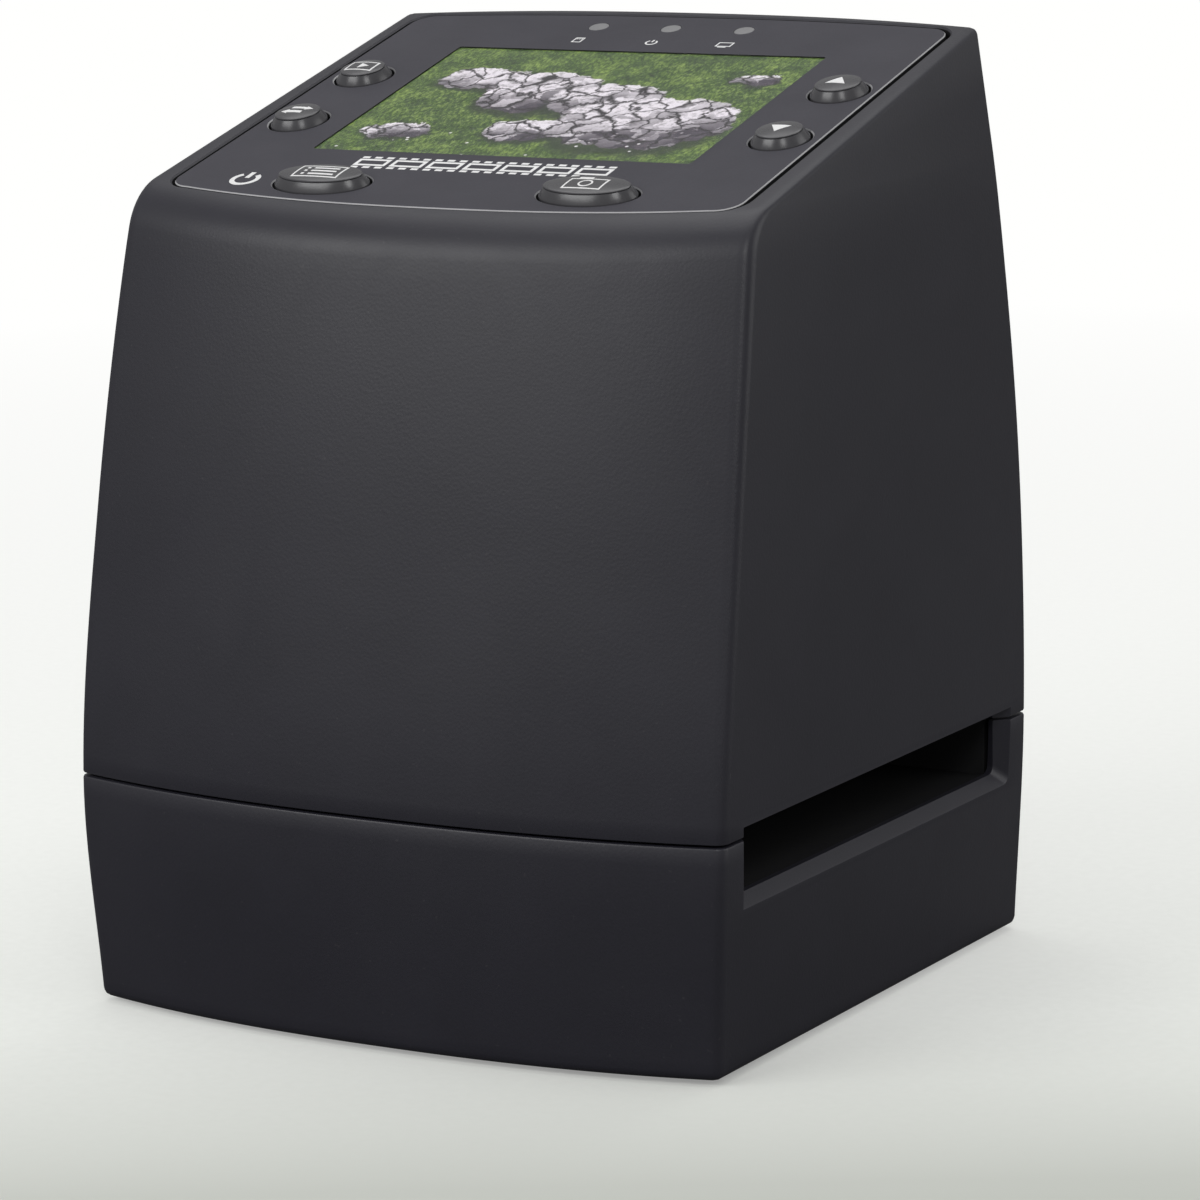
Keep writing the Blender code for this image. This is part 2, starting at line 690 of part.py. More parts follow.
# Places inside the casing
SCREW_SIDE = HALF_WIDTH - SCREW_SIDE_INSET
SCREW_FRONT = SCREW_FRONT_INSET - HALF_DEPTH
SCREW_BACK = HALF_DEPTH - SCREW_BACK_INSET
BASE_SCREWS = {
    "front_left": (-SCREW_SIDE, SCREW_FRONT),
    "front_right": (SCREW_SIDE, SCREW_FRONT),
    "back_left": (-SCREW_SIDE, SCREW_BACK),
    "back_right": (SCREW_SIDE, SCREW_BACK),
}
SLOT_FRONT = SLOT_FRONT_INSET - HALF_DEPTH
SLOT_BACK = HALF_DEPTH - SLOT_BACK_INSET
SLOT_HIGH = SEAM_HEIGHT + SLOT_ABOVE_SEAM
SLOT_LOW = SLOT_HIGH - SLOT_OPENING
TUNNEL_Y = (SLOT_FRONT + SLOT_BACK) / 2
FILM_WINDOW_LENGTH = SLOT_BACK - SLOT_FRONT - 2 * FILM_WINDOW_MARGIN
TRAY_HALF_LENGTH = HALF_WIDTH - WALL - INNER_ROOM
TUNNEL_SCREW_SIDE = TRAY_HALF_LENGTH - TUNNEL_SCREW_INSET
GATE_LOW = SLOT_HIGH
GATE_HIGH = GATE_LOW + GATE_THICK
TUNNEL_LOW = GATE_HIGH + CLEARANCE
FLANGE_HIGH = TUNNEL_LOW + TUNNEL_FLANGE_THICK
TUNNEL_BOSS_LOW = FLANGE_HIGH + CLEARANCE
SCREW_SEAT = SEAM_HEIGHT - SCREW_SEAT_DROP
SCREW_TOP = SEAM_HEIGHT + SCREW_BITE
SCREW_HOLE = SCREW_RADIUS + SCREW_ROOM
TUNNEL_SCREW_TOP = TUNNEL_LOW - CLEARANCE + TUNNEL_SCREW_LENGTH

# Main board beside the left wall, with sockets that look out through the back wall
MAIN_BOARD_X = MAIN_BOARD_INSET - HALF_WIDTH
MAIN_BOARD_OUTER = MAIN_BOARD_X - BOARD_THICK
MAIN_BOARD_FRONT = MAIN_BOARD_FRONT_INSET - HALF_DEPTH
MAIN_BOARD_BACK = HALF_DEPTH - MAIN_BOARD_BACK_INSET
MAIN_BOARD_LOW = FLANGE_HIGH + MAIN_BOARD_RISE
MAIN_BOARD_HIGH = deck(MAIN_BOARD_FRONT, BOARD_UNDER) - MAIN_BOARD_ROOM
SD_LOW = MAIN_BOARD_LOW + SD_RISE
USB_LOW = MAIN_BOARD_LOW + USB_RISE
JACK_LOW = MAIN_BOARD_LOW + JACK_RISE


def socket_back(x, height, width):
    """Place of a socket's mouth, just inside the back wall at its outer edge."""
    side_share = (abs(x) + width) / half_width(height)
    return back_wall(height, min(side_share, 1)) - WALL - CLEARANCE


SD_X = MAIN_BOARD_OUTER - CLEARANCE - SD_THICK / 2
SD_MIDDLE = SD_LOW + SD_WIDTH / 2
SD_BACK = socket_back(SD_X, SD_LOW + SD_WIDTH, SD_THICK / 2)
USB_X = MAIN_BOARD_X + CLEARANCE + USB_THICK / 2
USB_MIDDLE = USB_LOW + USB_WIDTH / 2
USB_BACK = socket_back(USB_X, USB_LOW + USB_WIDTH, USB_THICK / 2)
JACK_X = MAIN_BOARD_X + CLEARANCE + JACK_SIDE / 2
JACK_MIDDLE = JACK_LOW + JACK_SIDE / 2
JACK_BACK = socket_back(JACK_X, JACK_LOW + JACK_SIDE, JACK_SIDE / 2) - JACK_COLLAR_LENGTH
STAKE_SHOULDER = MAIN_BOARD_OUTER - CLEARANCE
STAKES = [(y, z) for y in (MAIN_BOARD_FRONT + STAKE_FRONT_INSET, SD_BACK - SD_DEPTH - STAKE_SOCKET_ROOM)
          for z in (MAIN_BOARD_LOW + STAKE_END_INSET, MAIN_BOARD_HIGH - STAKE_END_INSET)]


# Openings in the back wall for the sockets
def port(x, height, across, upright, corner):
    """Cutter along Y for a socket's opening in the back wall."""
    outline = rectangle(across, upright, corner)
    low, high = back_wall(height, 1) - 2 * WALL - OVERRUN, HALF_DEPTH + OVERRUN
    return moved(placed(prism(outline, low, high), ALONG_Y), x, 0, height)


# Holder slot: a chamfered recess in each side, through both housings
def slot_recess(side):
    """Cutter that narrows from the casing's side to the slot's own edges."""
    surface = half_width(SEAM_HEIGHT)
    rings = []
    for depth in (-OVERRUN, SLOT_CHAMFER):
        spread = SLOT_CHAMFER - depth
        x = side * (surface - depth)
        rings.append([(x, SLOT_FRONT - spread, SLOT_LOW - spread), (x, SLOT_BACK + spread, SLOT_LOW - spread),
                      (x, SLOT_BACK + spread, SLOT_HIGH), (x, SLOT_FRONT - spread, SLOT_HIGH)])
    x = side * (surface - WALL - OVERRUN)
    rings.append([(x, SLOT_FRONT, SLOT_LOW), (x, SLOT_BACK, SLOT_LOW),
                  (x, SLOT_BACK, SLOT_HIGH), (x, SLOT_FRONT, SLOT_HIGH)])
    points = [point for ring in rings for point in ring]
    faces = [(0, 1, 2, 3), (8, 9, 10, 11)]
    for level in (0, 4):
        for here in range(4):
            after = (here + 1) % 4
            faces.append((level + here, level + after, level + after + 4, level + here + 4))
    return points, faces


# Main forms of the two housings
upper_housing = piece("upper_housing", casing(0, 0, FOOT_PROUD), CASING)
soften(upper_housing, EDGE_RADIUS, segments=3)
below_seam = tool("below_seam", block((-BODY_WIDTH, -BODY_DEPTH, -BODY_HEIGHT),
                                      (BODY_WIDTH, BODY_DEPTH, SEAM_HEIGHT + SEAM_GAP / 2)))
cut(upper_housing, below_seam)
upper_hollow = tool("upper_hollow", casing(WALL, LEDGE_UNDER, SEAM_HEIGHT - OVERRUN, HOLLOW_COLUMNS))
cut(upper_housing, upper_hollow)

base_housing = piece("base_housing", casing(0, 0, FOOT_PROUD), CASING)
soften(base_housing, EDGE_RADIUS, segments=3)
above_seam = tool("above_seam", block((-BODY_WIDTH, -BODY_DEPTH, SEAM_HEIGHT - SEAM_GAP / 2),
                                      (BODY_WIDTH, BODY_DEPTH, 2 * BODY_HEIGHT)))
cut(base_housing, above_seam)
base_hollow = tool("base_hollow", casing(WALL, LEDGE_UNDER, FOOT_PROUD + FLOOR, HOLLOW_COLUMNS))
cut(base_housing, base_hollow)
slots = tool("holder_slots", together(slot_recess(-1), slot_recess(1)))
cut(upper_housing, slots)
cut(base_housing, slots)
ports = [
    port(SD_X, SD_MIDDLE, SD_MOUTH_THICK + PORT_MARGIN, SD_MOUTH_WIDTH + 2 * PORT_MARGIN, PORT_CORNER),
    port(USB_X, USB_MIDDLE, USB_THICK + PORT_MARGIN, USB_WIDTH + 2 * PORT_MARGIN, PORT_CORNER),
    moved(placed(disc(JACK_COLLAR_RADIUS + PORT_MARGIN, JACK_BACK - CLEARANCE, HALF_DEPTH + OVERRUN),
                 ALONG_Y), JACK_X, 0, JACK_MIDDLE),
]
cut(upper_housing, tool("ports", together(*ports)))


# The upper housing's tongues stand in rebates of the base housing
TONGUE_HALF_LENGTH = SCREW_SIDE - BOSS_RADIUS - TONGUE_END_ROOM


def wall_strip(wall, inward, growth):
    """Strip behind the front or the back wall: a tongue, or its rebate where it is grown."""
    reach = TONGUE_HALF_LENGTH + growth
    places = [reach * (2 * column / CASING_COLUMNS - 1) for column in range(CASING_COLUMNS + 1)]
    outer, inner = inward * (WALL - TONGUE_THICK - growth), inward * (WALL + growth)
    outline = [(x, wall(SEAM_HEIGHT, x / HALF_WIDTH) + outer) for x in places]
    outline += [(x, wall(SEAM_HEIGHT, x / HALF_WIDTH) + inner) for x in reversed(places)]
    return prism(outline, SEAM_HEIGHT - TONGUE_LENGTH - growth, SEAM_HEIGHT + OVERRUN)


add(upper_housing, tool("tongues", together(wall_strip(front_wall, 1, 0), wall_strip(back_wall, -1, 0))))


# Bosses inside the upper housing
def bored_boss(radius, low, high, bore_top):
    """Upright boss with a blind hole for a screw from below."""
    profile = [(0, bore_top), (SCREW_HOLE, bore_top), (SCREW_HOLE, low), (radius, low), (radius, high), (0, high)]
    return turned(profile, SMALL_STEPS)


screw_boss = bored_boss(BOSS_RADIUS, SEAM_HEIGHT + SEAM_GAP / 2, SEAM_HEIGHT + BOSS_HEIGHT, SCREW_TOP + CLEARANCE)
screw_bosses = [moved(screw_boss, x, y) for x, y in BASE_SCREWS.values()]
add(upper_housing, tool("screw_bosses", together(*screw_bosses)))
tunnel_boss = bored_boss(TUNNEL_BOSS_RADIUS, TUNNEL_BOSS_LOW, TUNNEL_BOSS_LOW + TUNNEL_BOSS_HEIGHT,
                         TUNNEL_SCREW_TOP + CLEARANCE)
tunnel_bosses = [moved(tunnel_boss, side * TUNNEL_SCREW_SIDE, TUNNEL_Y) for side in (-1, 1)]
add(upper_housing, tool("tunnel_bosses", together(*tunnel_bosses)))
stakes = []
for y, z in STAKES:
    root = WALL / 2 - half_width(z)
    profile = [(0, root), (STAKE_BOSS_RADIUS, root), (STAKE_BOSS_RADIUS, STAKE_SHOULDER),
               (STAKE_RADIUS, STAKE_SHOULDER), (STAKE_RADIUS, MAIN_BOARD_X + STAKE_PROUD),
               (0, MAIN_BOARD_X + STAKE_PROUD)]
    stakes.append(moved(placed(turned(profile, SMALL_STEPS), ALONG_X), 0, y, z))
add(upper_housing, tool("stakes", together(*stakes)))

KEY_BOSSES = [(side * KEY_BOSS_SIDE, -row) for side in (-1, 1) for row in KEY_BOSS_ROWS]
KEY_SCREWS = {"left": KEY_BOSSES[1], "right": KEY_BOSSES[2]}
key_bosses = []
for x, row in KEY_BOSSES:
    boss = disc(KEY_BOSS_RADIUS, -(BOARD_TOP - CLEARANCE), -(LEDGE_TOP + LEDGE_THICK / 2), SMALL_STEPS)
    key_bosses.append(moved(boss, x, row))

# The slanted top: a recess for the plate, an opening in the shelf under it, screw bosses
recess = tool("panel_recess", prism(panel_outline(PANEL_GROOVE), -LEDGE_TOP, OVERRUN), panel_frame)
cut(upper_housing, recess)
LEDGE_BACK = PANEL_BACK + LEDGE_BACK_REACH
LEDGE_FRONT = PANEL_FRONT - LEDGE_FRONT_REACH
opening = rectangle(2 * (PANEL_BACK_HALF - LEDGE_SIDE_REACH), LEDGE_FRONT - LEDGE_BACK, LEDGE_CORNER,
                    (0, -(LEDGE_FRONT + LEDGE_BACK) / 2))
cut(upper_housing, tool("shelf_opening", prism(opening, -LEDGE_UNDER - OVERRUN, 0), panel_frame))
skirt_room = [moved(prism(key_outline(oval, KEY_FLANGE + CLEARANCE), -LEDGE_UNDER - OVERRUN, -PANEL_THICK), x, -row)
              for x, row, oval in KEYS.values()]
cut(upper_housing, tool("skirt_room", together(*skirt_room), panel_frame))
add(upper_housing, tool("key_bosses", together(*key_bosses), panel_frame))
key_bores = []
SMALL_HOLE = SMALL_SCREW_RADIUS + SCREW_ROOM
for x, row in KEY_SCREWS.values():
    bore = disc(SMALL_HOLE, -BOARD_UNDER, -(LEDGE_TOP + CLEARANCE), SMALL_STEPS)
    key_bores.append(moved(bore, x, row))
cut(upper_housing, tool("key_bores", together(*key_bores), panel_frame))


# Inside the base housing: screw wells, ribs under the tray, bosses for the light board
TRAY_TOP = SLOT_LOW - TRAY_DROP
TRAY_UNDER = TRAY_TOP - TRAY_FLOOR
DIFFUSER_LOW = TRAY_UNDER - CLEARANCE - DIFFUSER_THICK
REFLECTOR_LOW = DIFFUSER_LOW - CLEARANCE - REFLECTOR_HEIGHT
LIGHT_BOARD_LOW = REFLECTOR_LOW - CLEARANCE - LIGHT_BOARD_THICK
REFLECTOR_WIDTH = FILM_WINDOW_WIDTH + 2 * REFLECTOR_MARGIN
REFLECTOR_LENGTH = FILM_WINDOW_LENGTH + 2 * REFLECTOR_MARGIN
LIGHT_BOARD_WIDTH = REFLECTOR_WIDTH + 2 * LIGHT_BOARD_MARGIN
LIGHT_BOARD_LENGTH = REFLECTOR_LENGTH + 2 * LIGHT_BOARD_MARGIN
DETENT_Y = SLOT_FRONT + DETENT_INSET
TRAY_RIB_HALF_LENGTH = TRAY_HALF_LENGTH - TRAY_RIB_END_INSET
DETENT_PLUNGER_LOW = TRAY_TOP - DETENT_SKIN - CLEARANCE - DETENT_BODY_HEIGHT
SPRING_TOP = DETENT_PLUNGER_LOW - CLEARANCE
SPRING_LOW = SPRING_TOP - SPRING_LENGTH
ROOT = FOOT_PROUD + FLOOR / 2

base_posts = []
for x, y in BASE_SCREWS.values():
    profile = [(0, ROOT), (WELL_RADIUS + WELL_WALL, ROOT),
               (WELL_RADIUS + WELL_WALL, SCREW_SEAT + WALL / 2), (BOSS_RADIUS, SCREW_SEAT + WALL / 2),
               (BOSS_RADIUS, SEAM_HEIGHT - SEAM_GAP / 2), (0, SEAM_HEIGHT - SEAM_GAP / 2)]
    base_posts.append(moved(turned(profile, SMALL_STEPS), x, y))
for y in (SLOT_FRONT + TRAY_RIB_INSET, SLOT_BACK - TRAY_RIB_INSET):
    base_posts.append(block((-TRAY_RIB_HALF_LENGTH, y - TRAY_RIB / 2, ROOT),
                            (TRAY_RIB_HALF_LENGTH, y + TRAY_RIB / 2, TRAY_UNDER - CLEARANCE)))
for side in (-1, 1):
    for end in (-1, 1):
        x = side * (LIGHT_BOARD_WIDTH / 2 - LIGHT_BOSS_INSET)
        y = TUNNEL_Y + end * (LIGHT_BOARD_LENGTH / 2 - LIGHT_BOSS_INSET)
        boss = disc(LIGHT_BOSS_RADIUS, ROOT, LIGHT_BOARD_LOW - CLEARANCE, SMALL_STEPS)
        base_posts.append(moved(boss, x, y))
base_posts.append(moved(disc(DETENT_POST_RADIUS, ROOT, SPRING_LOW - CLEARANCE, SMALL_STEPS), 0, DETENT_Y))
add(base_housing, tool("base_posts", together(*base_posts)))
cut(base_housing, tool("rebates", together(wall_strip(front_wall, 1, CLEARANCE),
                                           wall_strip(back_wall, -1, CLEARANCE))))

base_bores = []
for x, y in BASE_SCREWS.values():
    profile = [(0, -OVERRUN), (WELL_RADIUS, -OVERRUN), (WELL_RADIUS, SCREW_SEAT),
               (SCREW_HOLE, SCREW_SEAT), (SCREW_HOLE, SEAM_HEIGHT + OVERRUN), (0, SEAM_HEIGHT + OVERRUN)]
    base_bores.append(moved(turned(profile, SMALL_STEPS), x, y))
FOOT_SIDE = HALF_WIDTH - FOOT_SIDE_INSET
FOOT_ROW = HALF_DEPTH - FOOT_END_INSET
FEET = {
    "front_left": (-FOOT_SIDE, -FOOT_ROW),
    "front_right": (FOOT_SIDE, -FOOT_ROW),
    "back_left": (-FOOT_SIDE, FOOT_ROW),
    "back_right": (FOOT_SIDE, FOOT_ROW),
}
for x, y in FEET.values():
    pocket = disc(FOOT_RADIUS + CLEARANCE, -OVERRUN, FOOT_PROUD + FOOT_SET_IN + CLEARANCE)
    base_bores.append(moved(pocket, x, y))
cut(base_housing, tool("base_bores", together(*base_bores)))


# Control panel
control_panel = piece("control_panel", prism(panel_outline(0), -PANEL_THICK, 0), PLATE, panel_frame)
soften(control_panel, PANEL_EDGE, segments=1)
window_hole = rectangle(WINDOW_WIDTH, WINDOW_LENGTH, WINDOW_CORNER, (0, -SCREEN_MIDDLE))
display_pocket = rectangle(DISPLAY_WIDTH + 2 * CLEARANCE, DISPLAY_LENGTH + 2 * CLEARANCE, 0, (0, -SCREEN_MIDDLE))
panel_cuts = [prism(display_pocket, -PANEL_THICK - OVERRUN, -PANEL_SKIN)]
for x, row, oval in KEYS.values():
    panel_cuts.append(moved(prism(key_outline(oval, KEY_GAP), -PANEL_THICK - OVERRUN, OVERRUN), x, -row))
for x in LAMPS.values():
    lamp_hole = disc(LAMP_RADIUS + CLEARANCE / 2, -PANEL_THICK - OVERRUN, OVERRUN, SMALL_STEPS)
    panel_cuts.append(moved(lamp_hole, x, -LAMP_ROW))
cut(control_panel, tool("panel_cuts", together(*panel_cuts), panel_frame))
cut(control_panel, tool("window_hole", prism(window_hole, -PANEL_THICK, OVERRUN), panel_frame))

pane = rectangle(WINDOW_WIDTH - 2 * CLEARANCE, WINDOW_LENGTH - 2 * CLEARANCE, WINDOW_CORNER, (0, -SCREEN_MIDDLE))
piece("display_window", prism(pane, -WINDOW_THICK, 0), CLEAR, panel_frame)
display = rectangle(DISPLAY_WIDTH, DISPLAY_LENGTH, DISPLAY_CORNER, (0, -SCREEN_MIDDLE))
piece("lcd_module", prism(display, -DISPLAY_UNDER, -DISPLAY_TOP), SCREEN, panel_frame)


# Keys, each over a switch on the key board
def key_cap(oval):
    """Key with a domed top, tapered flank, straight neck and a skirt under the plate."""
    levels = [(KEY_FLANGE, -FLANGE_UNDER), (KEY_FLANGE, -FLANGE_TOP), (0, -FLANGE_TOP), (0, 0),
              (-KEY_TAPER / 2, KEY_PROUD - KEY_TAPER), (-KEY_TAPER, KEY_PROUD - KEY_DOME),
              (-2 * KEY_TAPER, KEY_PROUD)]
    return stack([(key_outline(oval, growth), height) for growth, height in levels])


switch_outline = rectangle(SWITCH_SIDE, SWITCH_SIDE, SWITCH_CORNER)
plunger_profile = [(0, -PLUNGER_TOP - PLUNGER_HEIGHT), (PLUNGER_RADIUS, -PLUNGER_TOP - PLUNGER_HEIGHT),
                   (PLUNGER_RADIUS, -PLUNGER_TOP - PLUNGER_DOME),
                   (PLUNGER_RADIUS - PLUNGER_DOME, -PLUNGER_TOP), (0, -PLUNGER_TOP)]
for name, (x, row, oval) in KEYS.items():
    axis = bpy.data.objects.new(name + "_axis", None)
    bpy.context.scene.collection.objects.link(axis)
    axis.parent = panel_frame
    axis.location = (x, -row, 0)
    piece(name + "_button", key_cap(oval), KEY, axis)
    piece(name + "_plunger", turned(plunger_profile, SMALL_STEPS), KEY, axis)
    switch = piece(name + "_switch", prism(switch_outline, -SWITCH_TOP - SWITCH_HEIGHT, -SWITCH_TOP), METAL, axis)
    bore = disc(PLUNGER_RADIUS + CLEARANCE, -BOARD_TOP, -PLUNGER_TOP, SMALL_STEPS)
    cut(switch, tool(name + "_switch_bore", bore, axis))

# Lamp windows and the lamps under them
LED_TOP = BOARD_TOP - CLEARANCE - LED_HEIGHT
light_pipe = turned([(0, -LED_TOP + CLEARANCE), (LAMP_RADIUS, -LED_TOP + CLEARANCE),
                     (LAMP_RADIUS, -FLANGE_TOP - LAMP_FLANGE_THICK),
                     (LAMP_FLANGE_RADIUS, -FLANGE_TOP - LAMP_FLANGE_THICK),
                     (LAMP_FLANGE_RADIUS, -FLANGE_TOP), (LAMP_RADIUS, -FLANGE_TOP),
                     (LAMP_RADIUS, 0), (0, 0)], SMALL_STEPS)
for name, x in LAMPS.items():
    piece("light_pipe_" + name, light_pipe, LAMP, panel_frame, (x, -LAMP_ROW, 0))
    lamp = prism(rectangle(LED_LENGTH, LED_WIDTH), -LED_TOP - LED_HEIGHT, -LED_TOP)
    piece("indicator_led_" + name, lamp, WHITE, panel_frame, (x, -LAMP_ROW, 0))

# Key board, held to the shelf's bosses by two screws from below
key_board_outline = rectangle(2 * KEY_BOARD_HALF_WIDTH, KEY_BOARD_FRONT - KEY_BOARD_BACK, KEY_BOARD_CORNER,
                              (0, -(KEY_BOARD_FRONT + KEY_BOARD_BACK) / 2))
key_board = piece("key_board", prism(key_board_outline, -BOARD_UNDER, -BOARD_TOP), BOARD, panel_frame)
board_holes = [moved(disc(SMALL_HOLE, -BOARD_UNDER - OVERRUN, -BOARD_TOP + OVERRUN, SMALL_STEPS), x, row)
               for x, row in KEY_SCREWS.values()]
cut(key_board, tool("key_board_holes", together(*board_holes), panel_frame))


def screw(shank_radius, head_radius, head_thick, length):
    """Pan-head screw, point up, with the underside of its head at height zero."""
    edge = head_thick / 4
    return turned([(0, -head_thick), (head_radius - edge, -head_thick), (head_radius, -head_thick + edge),
                   (head_radius, 0), (shank_radius, 0), (shank_radius, length - shank_radius),
                   (shank_radius / 2, length), (0, length)], SMALL_STEPS)


def cross_slot(name, target, head_radius, head_thick):
    """Cross recess in the underside of a screw's head."""
    reach, half = head_radius * CROSS_SLOT_SHARE, head_radius * CROSS_WIDTH_SHARE
    low, high = -head_thick - OVERRUN, -head_thick * (1 - CROSS_DEPTH_SHARE)
    arms = [(reach, half), (half, half), (half, reach), (-half, reach), (-half, half), (-reach, half),
            (-reach, -half), (-half, -half), (-half, -reach), (half, -reach), (half, -half), (reach, -half)]
    recess_tool = tool(name + "_cross", prism(arms, low, high), target)
    cut(target, recess_tool)


for side, (x, row) in KEY_SCREWS.items():
    length = BOARD_UNDER + CLEARANCE - (LEDGE_TOP + 2 * CLEARANCE)
    made = piece("key_board_screw_" + side,
                 screw(SMALL_SCREW_RADIUS, SMALL_SCREW_HEAD, SMALL_SCREW_HEAD_THICK, length), METAL,
                 panel_frame, (x, row, -BOARD_UNDER - CLEARANCE))
    cross_slot(made.name, made, SMALL_SCREW_HEAD, SMALL_SCREW_HEAD_THICK)

# Housing screws and feet
for place, (x, y) in BASE_SCREWS.items():
    length = SCREW_TOP - (SCREW_SEAT - CLEARANCE)
    made = piece("housing_screw_" + place, screw(SCREW_RADIUS, SCREW_HEAD_RADIUS, SCREW_HEAD_THICK, length),
                 METAL, None, (x, y, SCREW_SEAT - CLEARANCE))
    cross_slot(made.name, made, SCREW_HEAD_RADIUS, SCREW_HEAD_THICK)
foot = turned([(0, 0), (FOOT_RADIUS - FOOT_EDGE, 0), (FOOT_RADIUS, FOOT_EDGE),
               (FOOT_RADIUS, FOOT_PROUD + FOOT_SET_IN), (0, FOOT_PROUD + FOOT_SET_IN)], ROUND_STEPS)
for place, (x, y) in FEET.items():
    piece("foot_" + place, foot, RUBBER, None, (x, y, 0))

# Guide tray: floor and two rails, with the film window and the click stop's tube
RAIL_TOP = SLOT_HIGH - TRAY_RAIL_ROOM
tray_section = [(SLOT_FRONT - TRAY_RAIL, TRAY_UNDER), (SLOT_BACK + TRAY_RAIL, TRAY_UNDER),
                (SLOT_BACK + TRAY_RAIL, RAIL_TOP), (SLOT_BACK, RAIL_TOP), (SLOT_BACK, TRAY_TOP),
                (SLOT_FRONT, TRAY_TOP), (SLOT_FRONT, RAIL_TOP), (SLOT_FRONT - TRAY_RAIL, RAIL_TOP)]
SECTION_TO_X = Matrix(((0, 0, 1, 0), (1, 0, 0, 0), (0, 1, 0, 0), (0, 0, 0, 1)))
guide_tray = piece("guide_tray", placed(prism(tray_section, -TRAY_HALF_LENGTH, TRAY_HALF_LENGTH), SECTION_TO_X),
                   INNER)
detent_bore = DETENT_BODY_RADIUS + CLEARANCE
detent_tube = disc(detent_bore + DETENT_TUBE_WALL, TRAY_UNDER - DETENT_TUBE_LENGTH, TRAY_TOP - TRAY_FLOOR / 2)
add(guide_tray, tool("detent_tube", moved(detent_tube, 0, DETENT_Y)))
detent_hole = turned([(0, TRAY_UNDER - DETENT_TUBE_LENGTH - OVERRUN),
                      (detent_bore, TRAY_UNDER - DETENT_TUBE_LENGTH - OVERRUN),
                      (detent_bore, TRAY_TOP - DETENT_SKIN),
                      (DETENT_NOSE_RADIUS + CLEARANCE, TRAY_TOP - DETENT_SKIN),
                      (DETENT_NOSE_RADIUS + CLEARANCE, TRAY_TOP + OVERRUN), (0, TRAY_TOP + OVERRUN)], SMALL_STEPS)
film_window = rectangle(FILM_WINDOW_WIDTH, FILM_WINDOW_LENGTH, 0, (0, TUNNEL_Y))
cut(guide_tray, tool("tray_cuts", together(moved(detent_hole, 0, DETENT_Y),
                                           prism(film_window, TRAY_UNDER - OVERRUN, TRAY_TOP + OVERRUN))))

nose_top = TRAY_TOP + DETENT_PROUD
plunger = turned([(0, DETENT_PLUNGER_LOW), (DETENT_BODY_RADIUS, DETENT_PLUNGER_LOW),
                  (DETENT_BODY_RADIUS, DETENT_PLUNGER_LOW + DETENT_BODY_HEIGHT),
                  (DETENT_NOSE_RADIUS, DETENT_PLUNGER_LOW + DETENT_BODY_HEIGHT),
                  (DETENT_NOSE_RADIUS, nose_top - DETENT_NOSE_RADIUS),
                  (DETENT_NOSE_RADIUS * cos(pi / 6), nose_top - DETENT_NOSE_RADIUS * (1 - sin(pi / 6))),
                  (DETENT_NOSE_RADIUS * cos(pi / 3), nose_top - DETENT_NOSE_RADIUS * (1 - sin(pi / 3))),
                  (0, nose_top)], SMALL_STEPS)
piece("detent_plunger", plunger, WHITE, None, (0, DETENT_Y, 0))


def coil(radius, wire_radius, low, high, turns, around=10, sides=5):
    """Round wire wound up the Z axis, as one closed tube."""
    rings = []
    count = turns * around
    for step in range(count + 1):
        angle = 2 * pi * step / around
        out = Vector((cos(angle), sin(angle), 0))
        height = low + wire_radius + (high - low - 2 * wire_radius) * step / count
        ring = []
        for side in range(sides):
            lean = 2 * pi * side / sides
            point = out * (radius + wire_radius * cos(lean)) + Vector((0, 0, wire_radius * sin(lean) + height))
            ring.append(tuple(point))
        rings.append(ring)
    points = [point for ring in rings for point in ring]
    faces = [tuple(range(sides)), tuple(range(len(points) - sides, len(points)))]
    for step in range(count):
        for side in range(sides):
            after = (side + 1) % sides
            base = step * sides
            faces.append((base + side, base + after, base + after + sides, base + side + sides))
    return points, faces


piece("detent_spring", coil(SPRING_RADIUS, SPRING_WIRE_RADIUS, SPRING_LOW, SPRING_TOP, SPRING_TURNS), METAL,
      None, (0, DETENT_Y, 0))

# Film gate
GATE_FRONT = SLOT_FRONT + GATE_SIDE_ROOM
GATE_BACK = SLOT_BACK - GATE_SIDE_ROOM
gate_width = 2 * (TRAY_HALF_LENGTH - GATE_END_INSET)
gate_outline = rectangle(gate_width, GATE_BACK - GATE_FRONT, GATE_CORNER, (0, (GATE_BACK + GATE_FRONT) / 2))
gate_frame = piece("gate_frame", prism(gate_outline, GATE_LOW, GATE_HIGH), INNER)
bevelled = rectangle(FILM_WINDOW_WIDTH + 2 * GATE_BEVEL, FILM_WINDOW_LENGTH + 2 * GATE_BEVEL, 0, (0, TUNNEL_Y))
gate_window = stack([(film_window, GATE_LOW - OVERRUN), (film_window, GATE_HIGH - GATE_BEVEL),
                     (bevelled, GATE_HIGH), (bevelled, GATE_HIGH + OVERRUN)])
cut(gate_frame, tool("gate_window", gate_window))

